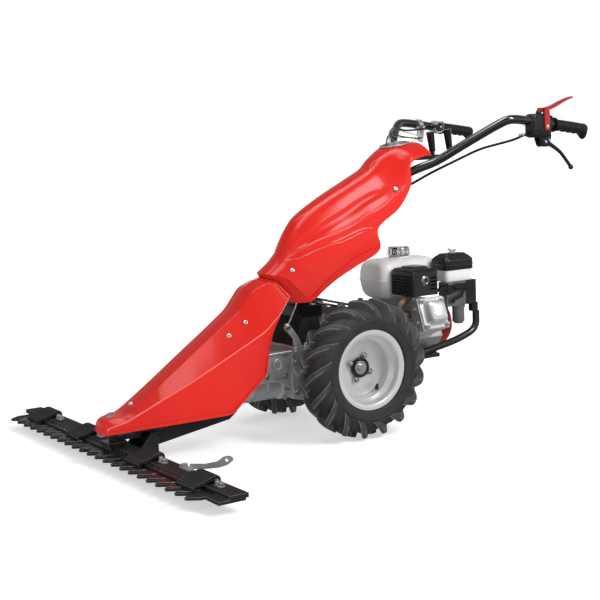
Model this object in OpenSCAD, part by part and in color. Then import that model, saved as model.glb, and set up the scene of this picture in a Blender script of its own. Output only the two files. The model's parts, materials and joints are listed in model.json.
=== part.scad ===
// Two-wheeled walk-behind sickle bar mower.
// Millimetres. Front of the machine is -Y, its left side +X, up +Z, ground at Z = 0.

/* [Wheels] */
// Outer radius of the tyre over its lugs
tyre_r = 203; // [190:1:215]
// Section width of the tyre
tyre_w = 112; // [96:1:124]
// Height of the tread lugs
lug_h = 10; // [6:1:14]
// Number of tread lugs on each side of a tyre
lug_count = 18; // [12:1:24]
// Width of one tread lug
lug_w = 23; // [16:1:28]
// Radius of the rim flange
rim_flange_r = 116; // [112:1:122]
// Radius of the tyre seat on the rim
rim_seat_r = 101.6; // [98:0.1:105]
// Half width of the rim over its flanges
rim_half_w = 46; // [42:1:50]
// Sheet thickness of the rim
rim_t = 3; // [2:0.5:5]
// Distance of a wheel's middle plane from the machine's middle plane
wheel_x = 214; // [205:1:240]
// Distance of the wheel disc inboard of the wheel's middle plane
disc_inset = 18; // [10:1:24]
// Bolt circle of the wheel nuts
wheel_pcd = 74; // [68:1:84]
// Radius of the wheel studs
stud_r = 5; // [4:0.5:6]
// Radius of the axle shafts
axle_r = 12.5; // [10:0.5:16]

/* [Transmission] */
// Half width of the gearbox
gearbox_half_w = 72; // [60:1:85]
// Wall thickness of the gearbox
gearbox_wall = 9; // [6:1:12]
// Height of the gearbox top above the ground
gearbox_top = 345; // [330:1:355]
// Height of the shaft that drives the knife
pto_z = 145; // [138:1:150]
// Radius of the shaft that drives the knife
pto_r = 9; // [7:0.5:11]
// Radius of the tube around that shaft
pto_tube_r = 27; // [22:1:32]
// Half width of the black front frame
frame_half_w = 35; // [28:1:42]
// Half width of the knife drive box
box_half_w = 36; // [30:1:38]

/* [Cutter bar] */
// Pitch of the fingers and of the knife sections
pitch = 50.8; // [48:0.1:54]
// Distance of the finger tips in front of the axle
front_reach = 764; // [750:1:780]
// Half length of the bar
bar_half = 632; // [620:1:640]
// Depth of the gaps between the fingers
finger_depth = 30; // [22:1:38]
// Width of a finger at its tip
finger_tip_w = 13; // [8:0.5:18]
// Thickness of the fingers
finger_t = 8; // [6:0.5:9]
// Thickness of the bar behind the fingers
bar_t = 12; // [9:0.5:14]
// Height of the underside of the bar above the ground
bar_z = 36; // [33:1:37]
// Thickness of the knife sections
section_t = 3; // [2:0.5:4]
// Height of the knife back over the sections
knife_back_h = 6; // [4:0.5:8]
// Width of the knife hold-downs
hold_w = 84; // [70:1:95]
// Length of the knife drive lever between pivot and roller
rocker_len = 65; // [58:1:68]
// Radius of the roller on the knife drive lever
roller_r = 9; // [7:0.5:10]

/* [Covers] */
// Wall thickness of the covers
cover_t = 3; // [2:0.25:4]

/* [Engine] */
// Height of the crankshaft above the ground
crank_z = 266; // [258:1:272]
// Angle of the cylinder above level
cyl_tilt = 20; // [16:1:24]
// Width of the cooling fins
fin_w = 100; // [90:1:106]
// Number of cooling fins
fin_count = 8; // [6:1:9]
// Thickness of a cooling fin
fin_t = 3.5; // [2.5:0.5:4.5]
// Radius of the crankshaft
crank_r = 12; // [10:0.5:14]
// Outer radius of the starter shroud
shroud_r = 74; // [70:1:80]
// Radius of the fuel cap
cap_r = 36; // [32:1:40]
// Radius of the engine guard tube
guard_r = 11; // [9:0.5:12]

/* [Handlebar] */
// Radius of the handlebar tubes
tube_r = 13.5; // [11:0.5:14]
// Wall thickness of the handlebar and guard tubes
tube_t = 2.5; // [2:0.25:4]
// Distance of the grip ends behind the axle
rear_reach = 846; // [838:1:860]
// Half distance between the grips
grip_x = 270; // [265:1:280]
// Radius of the grips
grip_r = 18; // [16.5:0.5:20]
// Radius of the selector rods
rod_r = 5; // [4:0.5:6]

/* [Fits] */
// Radial running clearance of shafts in bores
run_gap = 0.05; // [0.02:0.01:0.1]
// Gap between pieces that slide or pass each other
slide_gap = 0.4; // [0.3:0.05:0.8]
// Gap between seated pieces
seat_gap = 0.1; // [0.05:0.05:0.2]

/* [Hidden] */
$fn = 48;
red = [0.85, 0.1, 0.09];
black = [0.08, 0.08, 0.085];
grey = [0.62, 0.63, 0.64];
zinc = [0.8, 0.8, 0.8];
white = [0.9, 0.9, 0.88];
rubber = [0.12, 0.12, 0.12];

oy = (front_reach - rear_reach) / 2;
axle_z = tyre_r;
disc_x = wheel_x - disc_inset;
hub_x = disc_x - rim_t;
lug_angle = 34;
hub_flange_t = 10;
hub_flange_r = 50;
hub_boss_x = hub_x - hub_flange_t - 14;
pilot_r = 20;
axle_in = 20;
nut_r = 9.8;
nut_h = 9;

gear_back = 100;
gear_front = 150;
bar_front = front_reach - 66;
bar_back = bar_front - 53;
finger_root = bar_front - 22;
end_plate_front = bar_front + 31;
box_front = bar_front - 48;
pto_front = bar_front - 98;
box_back = bar_front - 153;
rocker_y = -bar_front + 73;
foot_back = bar_front - 118;
frame_back = 300;
frame_wall = 7;
box_bottom = 84;
box_top = 172;
box_step = 118;
rocker_z = 64;
rocker_t = 14;
spindle_r = 10;
skid_half_w = 44;

finger_top = bar_z;
finger_bottom = bar_z - finger_t;
section_z = finger_top + slide_gap;
section_top = section_z + section_t;
knife_back_top = section_top + knife_back_h;
knife_back_w = 20;
knife_rear = bar_front + slide_gap;
knife_tip = front_reach - 6;
finger_shift = -pitch / 2;
end_plate_in = bar_half - 68;
first_finger = -floor((bar_half - pitch) / pitch);
last_finger = floor(end_plate_in / pitch);
head_half_w = 26;
head_z = bar_z + bar_t + slide_gap + 2;
head_top = rocker_z - slide_gap;
hold_x = [142 - bar_half, -200, 180, bar_half - 160];
swath_x = (hold_x[2] + hold_x[3]) / 2 + 21;
strip_hole_r = 4.5;

cyl_y = 311;
case_front = 212;
case_back = 398;
case_wall = 8;
case_left = -85;
case_bottom = 188;
base_t = 12;
case_reach = 80;
case_half = 60;
head_reach = 168;
cover_reach = head_reach + 37;
shroud_back = 466;
flywheel_r = shroud_r - 12;
clutch_r = 92;
pin_r = 4;
clutch_pivot = [662, 826];
stop_pivot = [664, 921];

tank_x0 = -110;
tank_x1 = 33;
tank_y0 = 222;
tank_y1 = 452;
tank_z0 = 356;
tank_seam = 417;
tank_z1 = 480;
filter_x0 = 36;
filter_x1 = 117;
filter_y0 = 400;
filter_y1 = 516;
filter_z0 = 405;
filter_z = 440;
filter_h = 50;
cap_x = -40;
cap_y = 338;
cap_z = 486;
cap_h = 28;
neck_r = 25;
duct_bottom = 304;

lid_h = 34;
lid_top = gearbox_top + lid_h;
column_half_w = 22;
stay = [60, 538];
stay_r = 6;
stay_end = 93.6;
clamp_pivot = [214, 714];
clamp_t = 12;
clamp_r = 16.5;
gear_rod = [0, 786];
lock_rod = [30, 792];
grip_len = 138;
grip_tilt = -8;
grip_z0 = 877;
throttle_y = -21;
drum_r = 20;
block_front = 606;
grip_y0 = rear_reach - grip_len * cos(grip_tilt) + grip_r * sin(grip_tilt);
drum_front = grip_y0 + throttle_y * cos(grip_tilt) - drum_r;

nose_y = -700;
nose_z = 132.82;
nose_tilt = atan(5 / 34);
net_reach = 764;
cover_rear = -206;

// Half sections of the front cover from nose to rear: middle, strip edge, side crease, lower edge
front_net = [
    [[0, -735, 88], [22, -734, 88], [38, -728, 89], [42, -726.5, 90]],
    [[0, -738, 116], [22, -737, 114], [39, -729, 106], [42, -727, 91]],
    [[0, -726, 129], [27, -723, 129.44], [48, -708, 115], [51, -706, 92]],
    [[0, -692, 134], [32, -690, 134.29], [55, -680, 121], [58, -676, 94]],
    [[0, -668, 137], [34, -666, 136], [60, -648, 136], [64, -634, 96]],
    [[0, -562, 208], [34, -560, 207], [72, -572, 172], [76, -556, 98]],
    [[0, -464, 276], [35, -464, 274], [85, -489, 210], [88, -470, 101]],
    [[0, -384, 331], [37, -382, 329], [93, -400, 254], [97, -404, 103]],
    [[0, -307, 386], [40, -305, 383], [100, -330, 289], [103, -373, 105]],
    [[0, -260, 445], [46, -254, 441], [105, -254, 327], [106, -258, 203]],
    [[0, -226, 464], [52, -206, 458], [103, -200, 372], [106, -248, 293]],
    [[0, -206, 466], [56, -184, 455], [92, -160, 416], [101, -207, 366]]
];

// Half sections of the upper cover from its front lip to the rear collar
upper_net = [
    [[0, -204, 480], [42, -190, 477], [70, -151, 462], [84, -112, 420], [90, -89, 392]],
    [[0, -160, 512], [42, -150, 506], [72, -120, 485], [89, -82, 445], [94, -66, 404]],
    [[0, -134, 543], [40, -126, 534], [70, -104, 510], [92, -62, 462], [96, -48, 418]],
    [[0, -107, 594], [36, -98, 582], [68, -70, 545], [95, -20, 495], [98, 4, 450]],
    [[0, -67, 638], [36, -58, 627], [70, -25, 585], [98, 35, 528], [100, 72, 482]],
    [[0, 19, 687], [36, 26, 677], [70, 50, 630], [99, 105, 562], [101, 160, 524]],
    [[0, 104, 727], [36, 108, 718], [68, 124, 675], [97, 148, 618], [99, 158, 590]],
    [[0, 174, 763], [36, 178, 754], [66, 192, 716], [94, 215, 670], [97, 240, 645]],
    [[0, 214, 798], [36, 218, 789], [66, 234, 752], [92, 262, 725], [95, 288, 712]],
    [[0, 268, 829], [38, 270, 824], [68, 276, 806], [92, 284, 786], [95, 290, 775]],
    [[0, 330, 838], [40, 328, 836], [70, 330, 822], [90, 336, 806], [93, 342, 796]],
    [[0, 372, 838], [44, 360, 836], [72, 362, 824], [86, 370, 808], [88, 378, 797]]
];

// Route of the left handlebar tube
handle_route = [
    [column_half_w + clamp_t + seat_gap, clamp_pivot[0], clamp_pivot[1]],
    [52, clamp_pivot[0], clamp_pivot[1]], [64, 268, 734], [80, 318, 757], [110, 372, 776], [180, 431, 829],
    [258, 514, 892], grip_point(-162), grip_point(grip_len - 13)
];
// Route of the clutch cable from the control block into the upper cover
clutch_route = [
    [grip_x - 4, block_front - 0.4, 850], [grip_x - 4, 590, 849], [250, 566, 836], [176, 494, 812],
    [104, 362, 746], [66, 290, 704], [column_half_w + 8, 240, 684], [column_half_w + 4.3, 218, 672]
];
// Route of the throttle cable on the right
throttle_route = [
    [-253, drum_front - 0.8, 880], [-252, 644, 876], [-216, 520, 872], [-130, 396, 884],
    [-42, 318, 866], [-28, 302, 820], [-26, 294, 770]
];
// Route of the stop wire on the right
wire_route = [
    [-251.2, 612, 846], [-250.6, 596, 844], [-208, 500, 852], [-112, 372, 866],
    [-30, 296, 854], [-20, 280, 806], [-17, 274, 764]
];
// Route of the engine guard tube
guard_route = [
    [105, 262, 186], [105, 300, 194], [105, 449, 219], [105, 528, 246], [105, 528, duct_bottom - seat_gap]
];

// Lengthwise place on the front cover, stretched with the reach of the bar from the cover's rear end
function reach_y(y) = cover_rear + max(0, y - cover_rear)
    + min(0, y - cover_rear) * (front_reach + cover_rear) / (net_reach + cover_rear);

function unit(v) = v / norm(v);
function bend_path(p, d, n) = [
    p[0],
    for (i = [1 : len(p) - 2])
        let (a = p[i] + min(d, norm(p[i - 1] - p[i]) * 0.45) * unit(p[i - 1] - p[i]),
             b = p[i] + min(d, norm(p[i + 1] - p[i]) * 0.45) * unit(p[i + 1] - p[i]))
            for (k = [0 : n])
                let (t = k / n)
                    (1 - t) * (1 - t) * a + 2 * t * (1 - t) * p[i] + t * t * b,
    p[len(p) - 1]
];
function tangent(p, i) = unit(p[min(i + 1, len(p) - 1)] - p[max(i - 1, 0)]);
function ring(p, i, r, n, ref) =
    let (t = tangent(p, i), s = unit(cross(t, ref)), u = cross(s, t))
        [for (k = [0 : n - 1]) p[i] + r * (cos(360 * k / n) * s + sin(360 * k / n) * u)];
function mid(a, b, c, d, t) =
    0.5 * (2 * b + (c - a) * t + (2 * a - 5 * b + 4 * c - d) * t * t + (3 * b - a - 3 * c + d) * t * t * t);
function at_row(rows, i) = rows[max(0, min(len(rows) - 1, i))];
function blend_rows(a, b, c, d, t) = [for (j = [0 : len(b) - 1]) mid(a[j], b[j], c[j], d[j], t)];
function refine(rows, n) = [
    for (i = [0 : len(rows) - 2])
        for (k = [0 : n - 1])
            blend_rows(at_row(rows, i - 1), rows[i], rows[i + 1], at_row(rows, i + 2), k / n),
    rows[len(rows) - 1]
];
function flip(rows) = [for (j = [0 : len(rows[0]) - 1]) [for (i = [0 : len(rows) - 1]) rows[i][j]]];
function whole(half) = [
    for (j = [len(half) - 1 : -1 : 1]) [-half[j][0], half[j][1], half[j][2]],
    for (q = half) q
];
function net_normal(g, i, j) =
    unit(cross(g[i][min(j + 1, len(g[0]) - 1)] - g[i][max(j - 1, 0)],
               g[min(i + 1, len(g) - 1)][j] - g[max(i - 1, 0)][j]));
// Outline points with the second coordinate turned over, in reverse order
function mirrored(p) = [for (i = [len(p) - 1 : -1 : 0]) [p[i][0], -p[i][1]]];
function tri(a, b, c, d) = [[a, b, c], [a, c, d]];
// Point of the tilted cylinder: x along its axis, z across it
function tilted(x, z) =
    [x * cos(cyl_tilt) - z * sin(cyl_tilt), crank_z + x * sin(cyl_tilt) + z * cos(cyl_tilt)];

module place() {
    translate([0, oy, 0]) children();
}

module along_x(x0, r, len_x) {
    translate([x0, 0, 0]) rotate([0, 90, 0]) cylinder(r = r, h = len_x);
}

module along_y(y0, r, len_y) {
    translate([0, y0, 0]) rotate([-90, 0, 0]) cylinder(r = r, h = len_y);
}

// Block from its two corners
module block(a, b) {
    translate(a) cube(b - a);
}

// Side outline of [y, z] points, extruded from x0 to x1
module side_plate(points, x0, x1) {
    translate([x0, 0, 0])
        rotate([90, 0, 90])
            linear_extrude(height = x1 - x0)
                polygon(points);
}

// Front outline of [x, z] points, extruded from y0 to y1
module front_plate(points, y0, y1) {
    translate([0, y1, 0])
        rotate([90, 0, 0])
            linear_extrude(height = y1 - y0)
                polygon(points);
}

module round_rect(x0, y0, x1, y1, r) {
    translate([x0 + r, y0]) square([x1 - x0 - 2 * r, y1 - y0]);
    translate([x0, y0 + r]) square([x1 - x0, y1 - y0 - 2 * r]);
    for (x = [x0 + r, x1 - r])
        for (y = [y0 + r, y1 - r])
            translate([x, y]) circle(r = r);
}

module slab(x0, y0, x1, y1, r, z0, z1) {
    translate([0, 0, z0]) linear_extrude(height = z1 - z0) round_rect(x0, y0, x1, y1, r);
}

// Round bar of n sides along a route
module sweep(p, r, n, ref) {
    m = len(p);
    points = [for (i = [0 : m - 1]) each ring(p, i, r, n, ref)];
    sides = [
        for (i = [0 : m - 2])
            for (k = [0 : n - 1])
                each tri(i * n + k, i * n + (k + 1) % n, (i + 1) * n + (k + 1) % n, (i + 1) * n + k)
    ];
    first = [for (k = [1 : n - 2]) [0, k + 1, k]];
    last = [for (k = [1 : n - 2]) [(m - 1) * n, (m - 1) * n + k, (m - 1) * n + k + 1]];
    polyhedron(points, concat(first, sides, last), convexity = 6);
}

// Round tube of n sides along a route
module tube(p, r, t, n, ref) {
    m = len(p);
    q = m * n;
    e = (m - 1) * n;
    points = concat([for (i = [0 : m - 1]) each ring(p, i, r, n, ref)],
                    [for (i = [0 : m - 1]) each ring(p, i, r - t, n, ref)]);
    outside = [
        for (i = [0 : m - 2])
            for (k = [0 : n - 1])
                each tri(i * n + k, i * n + (k + 1) % n, (i + 1) * n + (k + 1) % n, (i + 1) * n + k)
    ];
    inside = [for (f = outside) [f[2] + q, f[1] + q, f[0] + q]];
    first = [for (k = [0 : n - 1]) each tri((k + 1) % n, k, q + k, q + (k + 1) % n)];
    last = [for (k = [0 : n - 1]) each tri(e + k, e + (k + 1) % n, q + e + (k + 1) % n, q + e + k)];
    polyhedron(points, concat(first, outside, inside, last), convexity = 8);
}

// Sheet of thickness t under a grid of points
module shell(g, t) {
    m = len(g);
    n = len(g[0]);
    outer = [for (row = g) each row];
    inner = [for (i = [0 : m - 1]) for (j = [0 : n - 1]) g[i][j] - t * net_normal(g, i, j)];
    q = m * n;
    faces = concat(
        [for (i = [0 : m - 2]) for (j = [0 : n - 2])
            each tri(i * n + j, (i + 1) * n + j, (i + 1) * n + j + 1, i * n + j + 1)],
        [for (i = [0 : m - 2]) for (j = [0 : n - 2])
            each tri(q + i * n + j, q + i * n + j + 1, q + (i + 1) * n + j + 1, q + (i + 1) * n + j)],
        [for (j = [0 : n - 2]) each tri(j, j + 1, q + j + 1, q + j)],
        [for (j = [0 : n - 2])
            each tri((m - 1) * n + j + 1, (m - 1) * n + j, q + (m - 1) * n + j, q + (m - 1) * n + j + 1)],
        [for (i = [0 : m - 2]) each tri((i + 1) * n, i * n, q + i * n, q + (i + 1) * n)],
        [for (i = [0 : m - 2])
            each tri(i * n + n - 1, (i + 1) * n + n - 1, q + (i + 1) * n + n - 1, q + i * n + n - 1)]
    );
    polyhedron(concat(outer, inner), faces, convexity = 8);
}

module hex_bolt(r, h) {
    cylinder(r = r, h = h, $fn = 6);
}

// Wheel pieces on the left side, axis along X through the axle
module wheel_place() {
    place() translate([0, 0, axle_z]) children();
}

module spun(points) {
    translate([wheel_x, 0, 0]) rotate([0, 90, 0]) rotate_extrude() polygon(points);
}

module tyre_shape() {
    crown = tyre_r - lug_h;
    hw = tyre_w / 2;
    bead_r = rim_seat_r + seat_gap;
    bead_x = rim_half_w - rim_t - seat_gap;
    side = [[bead_r, bead_x], [rim_flange_r + 1.5, bead_x], [rim_flange_r + 4, hw - 7],
            [rim_flange_r + 16, hw - 2], [rim_flange_r + 32, hw], [crown - 30, hw - 1],
            [crown - 16, hw - 5], [crown - 7, hw - 14], [crown - 2, hw - 28]];
    inside = [[crown - 9, hw - 28], [crown - 18, hw - 17], [rim_flange_r + 30, hw - 9],
              [rim_flange_r + 14, hw - 11], [rim_flange_r - 2, bead_x - 9], [bead_r, bead_x - 11]];
    lug_side = [[crown - 4, 1], [crown - 6, hw - 26], [crown - 14, hw - 13], [crown - 27, hw - 4],
                [crown - 6, hw - 6], [crown, hw - 12], [tyre_r - 4, hw - 22], [tyre_r - 1, hw - 36],
                [tyre_r, 1]];
    spun(concat(side, mirrored(side), mirrored(inside), inside));
    intersection() {
        spun(concat(lug_side, mirrored(lug_side)));
        translate([wheel_x, 0, 0])
            rotate([0, 90, 0])
                for (k = [0 : lug_count - 1]) {
                    rotate([0, 0, k * 360 / lug_count]) lug_bar();
                    rotate([0, 0, (k + 0.5) * 360 / lug_count]) mirror([0, 0, 1]) lug_bar();
                }
    }
}

module lug_bar() {
    rotate([lug_angle, 0, 0])
        translate([tyre_r - 4 * lug_h, -lug_w / 2, 3])
            cube([5 * lug_h, lug_w, tyre_w]);
}

module rim_shape() {
    well_r = rim_seat_r - 14;
    w = rim_half_w;
    s = rim_seat_r;
    difference() {
        spun([[rim_flange_r, w], [rim_flange_r, w - rim_t], [s, w - rim_t], [s, w - 20], [well_r, w - 31],
              [well_r, -disc_inset - 6], [s, -w + 12], [s, -w + rim_t], [rim_flange_r, -w + rim_t],
              [rim_flange_r, -w], [s - rim_t, -w], [s - rim_t, -w + 11], [well_r - rim_t, -disc_inset - 7],
              [well_r - rim_t, -disc_inset - rim_t], [pilot_r + seat_gap, -disc_inset - rim_t],
              [pilot_r + seat_gap, -disc_inset], [well_r - rim_t, -disc_inset],
              [well_r - rim_t, w - 32], [s - rim_t, w - 21], [s - rim_t, w]]);
        for (a = [65 : 90 : 335])
            rotate([a, 0, 0])
                translate([0, wheel_pcd / 2, 0])
                    along_x(hub_x - 1, stud_r + seat_gap, rim_t + 2);
    }
}

module hub_shape() {
    along_x(hub_x - hub_flange_t, hub_flange_r, hub_flange_t);
    along_x(hub_boss_x, pilot_r + 6, hub_x - hub_boss_x);
    along_x(hub_x - 1, pilot_r, 15);
    along_x(hub_x - 1, pilot_r - 9, 21);
    along_x(axle_in, axle_r, hub_x - axle_in);
    for (a = [65 : 90 : 335])
        rotate([a, 0, 0]) translate([0, wheel_pcd / 2, 0]) along_x(hub_x - 1, stud_r, rim_t + nut_h + 4);
}

module wheel_nuts_shape() {
    for (a = [65 : 90 : 335])
        rotate([a, 0, 0])
            translate([disc_x, wheel_pcd / 2, 0])
                rotate([0, 90, 0])
                    difference() {
                        cylinder(r = nut_r, h = nut_h, $fn = 6);
                        translate([0, 0, -1]) cylinder(r = stud_r + run_gap, h = nut_h + 2);
                    }
}

module left_tyre() { color(rubber) wheel_place() tyre_shape(); }
module left_rim() { color(grey) wheel_place() rim_shape(); }
module left_hub() { color(grey) wheel_place() hub_shape(); }
module left_wheel_nuts() { color(zinc) wheel_place() wheel_nuts_shape(); }
module right_tyre() { color(rubber) wheel_place() mirror([1, 0, 0]) tyre_shape(); }
module right_rim() { color(grey) wheel_place() mirror([1, 0, 0]) rim_shape(); }
module right_hub() { color(grey) wheel_place() mirror([1, 0, 0]) hub_shape(); }
module right_wheel_nuts() { color(zinc) wheel_place() mirror([1, 0, 0]) wheel_nuts_shape(); }

// Half of the gearbox case, split at the machine's middle plane
module gearbox_half() {
    t = gearbox_wall;
    difference() {
        union() {
            side_plate([[-gear_front, 112], [-gear_front, 236], [-gear_front + 42, gearbox_top],
                        [gear_back, gearbox_top], [gear_back, 160], [60, 108], [-100, 100]],
                       0, gearbox_half_w);
            translate([0, 0, axle_z]) along_x(0, 62, gearbox_half_w + 8);
            translate([0, -86, 268]) along_x(0, 26, gearbox_half_w + 5);
        }
        side_plate([[-gear_front + t, 112 + t], [-gear_front + t, 234], [-gear_front + 46, gearbox_top - t],
                    [gear_back - t, gearbox_top - t], [gear_back - t, 164], [56, 108 + t], [-98, 100 + t]],
                   -1, gearbox_half_w - t);
        translate([0, 0, axle_z]) along_x(-1, axle_r + run_gap, gearbox_half_w + 12);
        translate([0, 0, pto_z]) along_y(-gear_front - 1, pto_r + 3, t + 2);
        translate([0, 0, crank_z]) along_y(gear_back - t - 1, crank_r + 6, t + 2);
    }
}

module gearbox_left() { color(grey) place() gearbox_half(); }
module gearbox_right() { color(grey) place() mirror([1, 0, 0]) gearbox_half(); }

module gearbox_lid() {
    color(black) place() {
        difference() {
            slab(-62, -112, 62, -26, 8, gearbox_top, lid_top);
            slab(-58, -108, 58, -30, 5, gearbox_top - 1, lid_top - 4);
        }
        for (x = [-50, 50])
            translate([x, -69, lid_top - 1]) hex_bolt(7, 6);
    }
}

module axle_tubes() {
    color(grey) wheel_place()
        for (m = [0, 1])
            mirror([m, 0, 0])
                difference() {
                    union() {
                        along_x(gearbox_half_w + 8, 34, hub_boss_x - gearbox_half_w - 10);
                        along_x(gearbox_half_w + 8, 48, 10);
                    }
                    along_x(gearbox_half_w, axle_r + run_gap, hub_x);
                }
}

module pto_tube() {
    color(grey) place() translate([0, 0, pto_z])
        difference() {
            union() {
                along_y(-frame_back, pto_tube_r, frame_back - gear_front);
                along_y(-gear_front - 10, pto_tube_r + 16, 10);
                along_y(-frame_back, pto_tube_r + 10, 10);
            }
            along_y(-frame_back - 1, pto_r + 3, frame_back - gear_front + 2);
        }
}

module pto_shaft() {
    color(zinc) place() translate([0, 0, pto_z]) {
        along_y(-pto_front + 16, pto_r, pto_front - gear_front + 60);
        along_y(-gear_front + 20, 24, 16);
    }
}

module front_frame() {
    w = frame_half_w - frame_wall;
    color(black) place()
        difference() {
            side_plate([[-pto_front, bar_z + seat_gap], [-pto_front + 38, bar_z + 6], [-345, 75], [-322, 92],
                        [-frame_back, 118], [-frame_back, box_top], [-box_back + seat_gap, box_top],
                        [-box_back + seat_gap, box_bottom - seat_gap],
                        [-pto_front, box_bottom - seat_gap]],
                       -frame_half_w, frame_half_w);
            difference() {
                side_plate([[-box_back + 13, 60], [-350, 90], [-328, 102], [-314, 120],
                            [-314, box_top - frame_wall], [-box_back + 13, box_top - frame_wall]], -w, w);
                translate([0, 0, pto_z]) along_y(-box_back, pto_r + 9, box_back - frame_back);
            }
            translate([0, 0, pto_z]) along_y(-box_back - 1, pto_r + 3, box_back - frame_back + 2);
            translate([0, -pto_front + 14, 60]) along_x(-frame_half_w - 1, 8, 2 * frame_half_w + 2);
        }
}

module drive_box() {
    color(black) place()
        difference() {
            side_plate([[-box_front, box_bottom], [-box_back, box_bottom], [-box_back, box_top],
                        [-pto_front, box_top], [-pto_front, box_step], [-box_front, box_step]],
                       -box_half_w, box_half_w);
            translate([0, 0, pto_z]) along_y(-pto_front + 12, pto_r + run_gap, pto_front - box_back);
            translate([0, rocker_y, box_bottom - 1]) cylinder(r = spindle_r + run_gap, h = 28);
        }
}

module bar_bracket() {
    rib_t = 11.5;
    rib_x = frame_half_w + seat_gap;
    foot_x = rib_x + rib_t;
    color(black) place() {
        block([-foot_x, -finger_root + 2, 16], [foot_x, -foot_back, bar_z]);
        for (m = [0, 1])
            mirror([m, 0, 0])
                side_plate([[-foot_back - 56, bar_z - 1], [-foot_back, bar_z - 1], [-foot_back, 78],
                            [-foot_back - 20, 78]], rib_x, foot_x);
        side_plate([[-foot_back - 94, 16.5], [-foot_back - 94, 10], [-foot_back - 75, 0],
                    [-foot_back - 12, 0], [-foot_back, 12], [-foot_back, 16.5]],
                   -skid_half_w, skid_half_w);
    }
}

// Cutter bar
module guard_bar() {
    color(black) place() {
        block([-bar_half, -bar_front, bar_z], [bar_half, -bar_back, bar_z + bar_t]);
        flat_plate([[end_plate_in, -end_plate_front + 2], [bar_half, -end_plate_front],
                    [bar_half, -bar_back - 8], [end_plate_in, -bar_back - 8]], bar_z - 6, bar_z + 3);
    }
}

// Plan outline of [x, y] points, extruded from z0 to z1
module flat_plate(points, z0, z1) {
    translate([0, 0, z0]) linear_extrude(height = z1 - z0) polygon(points);
}

function finger_x(i) = finger_shift + i * pitch;

module guard_fingers() {
    gap = 0.3;
    color(black) place()
        for (i = [first_finger : last_finger])
            translate([finger_x(i), 0, 0])
                flat_plate([
                    [-pitch / 2 + gap, -finger_root], [-pitch / 2 + gap, -front_reach + finger_depth],
                    [-finger_tip_w / 2, -front_reach + 4], [-finger_tip_w / 2 + 3, -front_reach],
                    [finger_tip_w / 2 - 3, -front_reach], [finger_tip_w / 2, -front_reach + 4],
                    [pitch / 2 - gap, -front_reach + finger_depth], [pitch / 2 - gap, -finger_root]
                ], finger_bottom, finger_top);
}

module knife_sections() {
    gap = 0.4;
    tip = finger_tip_w / 2 - 2;
    color(black) place()
        for (i = [first_finger + 1 : last_finger - 1])
            translate([finger_x(i), 0, 0])
                flat_plate([
                    [-pitch / 2 + gap, -knife_rear], [-pitch / 2 + gap, -front_reach + finger_depth + 1],
                    [-tip, -knife_tip], [tip, -knife_tip],
                    [pitch / 2 - gap, -front_reach + finger_depth + 1], [pitch / 2 - gap, -knife_rear]
                ], section_z, section_top);
}

module knife_back() {
    color(black) place()
        block([finger_x(first_finger + 1) - pitch / 2 + 4, -knife_rear - knife_back_w, section_top],
              [finger_x(last_finger - 1) + pitch / 2 - 4, -knife_rear, knife_back_top]);
}

module knife_head() {
    tip_y = rocker_y - rocker_len;
    color(black) place()
        difference() {
            union() {
                block([-head_half_w, -bar_front - 24, head_z], [head_half_w, -bar_front + 34, head_top]);
                block([-head_half_w, -knife_rear - knife_back_w, knife_back_top],
                      [head_half_w, -knife_rear, head_z + 1]);
            }
            block([-roller_r - 1, tip_y - roller_r - 2, head_z + 4],
                  [roller_r + 1, tip_y + roller_r + 10, head_top + 1]);
        }
}

module rocker() {
    tip_y = rocker_y - rocker_len;
    color(black) place() {
        translate([0, rocker_y, rocker_z]) cylinder(r = 22, h = rocker_t);
        translate([0, tip_y, rocker_z]) cylinder(r = 17, h = rocker_t);
        block([-14, tip_y, rocker_z], [14, rocker_y, rocker_z + rocker_t]);
        translate([0, rocker_y, rocker_z + 2]) cylinder(r = spindle_r, h = 44);
        translate([0, tip_y, head_z + 5]) cylinder(r = roller_r, h = rocker_z - head_z - 3);
        translate([0, tip_y, rocker_z + rocker_t - 1]) hex_bolt(9, 6);
    }
}

module hold_downs() {
    foot_z = section_top + slide_gap;
    top = bar_z + bar_t;
    roof = knife_back_top + slide_gap + 1;
    color(black) place()
        for (x = hold_x)
            translate([x, -bar_front, 0])
                difference() {
                    side_plate([[-34, foot_z], [-34, foot_z + 8], [-30, foot_z + 12], [-4, foot_z + 17],
                                [12, top + 15], [30, top + 20], [40, top + 19], [45, top + 13],
                                [47, top], [37, top], [35, top + 8], [30, top + 10],
                                [14, top + 6], [2, top + 3], [-1, top + 2], [-1.2, roof], [-22, roof],
                                [-23, foot_z]],
                               -hold_w / 2, hold_w / 2);
                    for (y = [-29, -21])
                        translate([-hold_w / 2 + 6, y, foot_z + 10]) cube([hold_w - 12, 3, 20]);
                }
}

module bar_bolts() {
    color(zinc) place()
        for (x = hold_x)
            for (d = [14, 34])
                translate([x + hold_w / 2 + d, -bar_front + 26, bar_z + bar_t]) {
                    cylinder(r = 10, h = 2.5);
                    translate([0, 0, 2]) hex_bolt(8, 8);
                    cylinder(r = 4.5, h = 14);
                }
}

module swath_arm() {
    strip_t = 5;
    top = bar_z + bar_t;
    color(grey) place() {
        slab(swath_x - 25, -bar_front + 30, swath_x + 25, -bar_front + 50, 6, top, top + 5);
        translate([swath_x - 9, -bar_front + 40, top + 4]) hex_bolt(9, 9);
        translate([swath_x + 5, -bar_front + 43, 0])
            rotate([0, 0, 42.8])
                difference() {
                    front_plate([[4, top + 1], [44, top + 2], [80, top + 6], [104, top + 14],
                                 [120, top + 26], [118, top + 34], [108, top + 38], [94, top + 35],
                                 [76, top + 22], [44, top + 15], [4, top + 14]], 0, strip_t);
                    translate([102, 0, top + 26]) along_y(-1, strip_hole_r, strip_t + 2);
                }
    }
}

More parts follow.
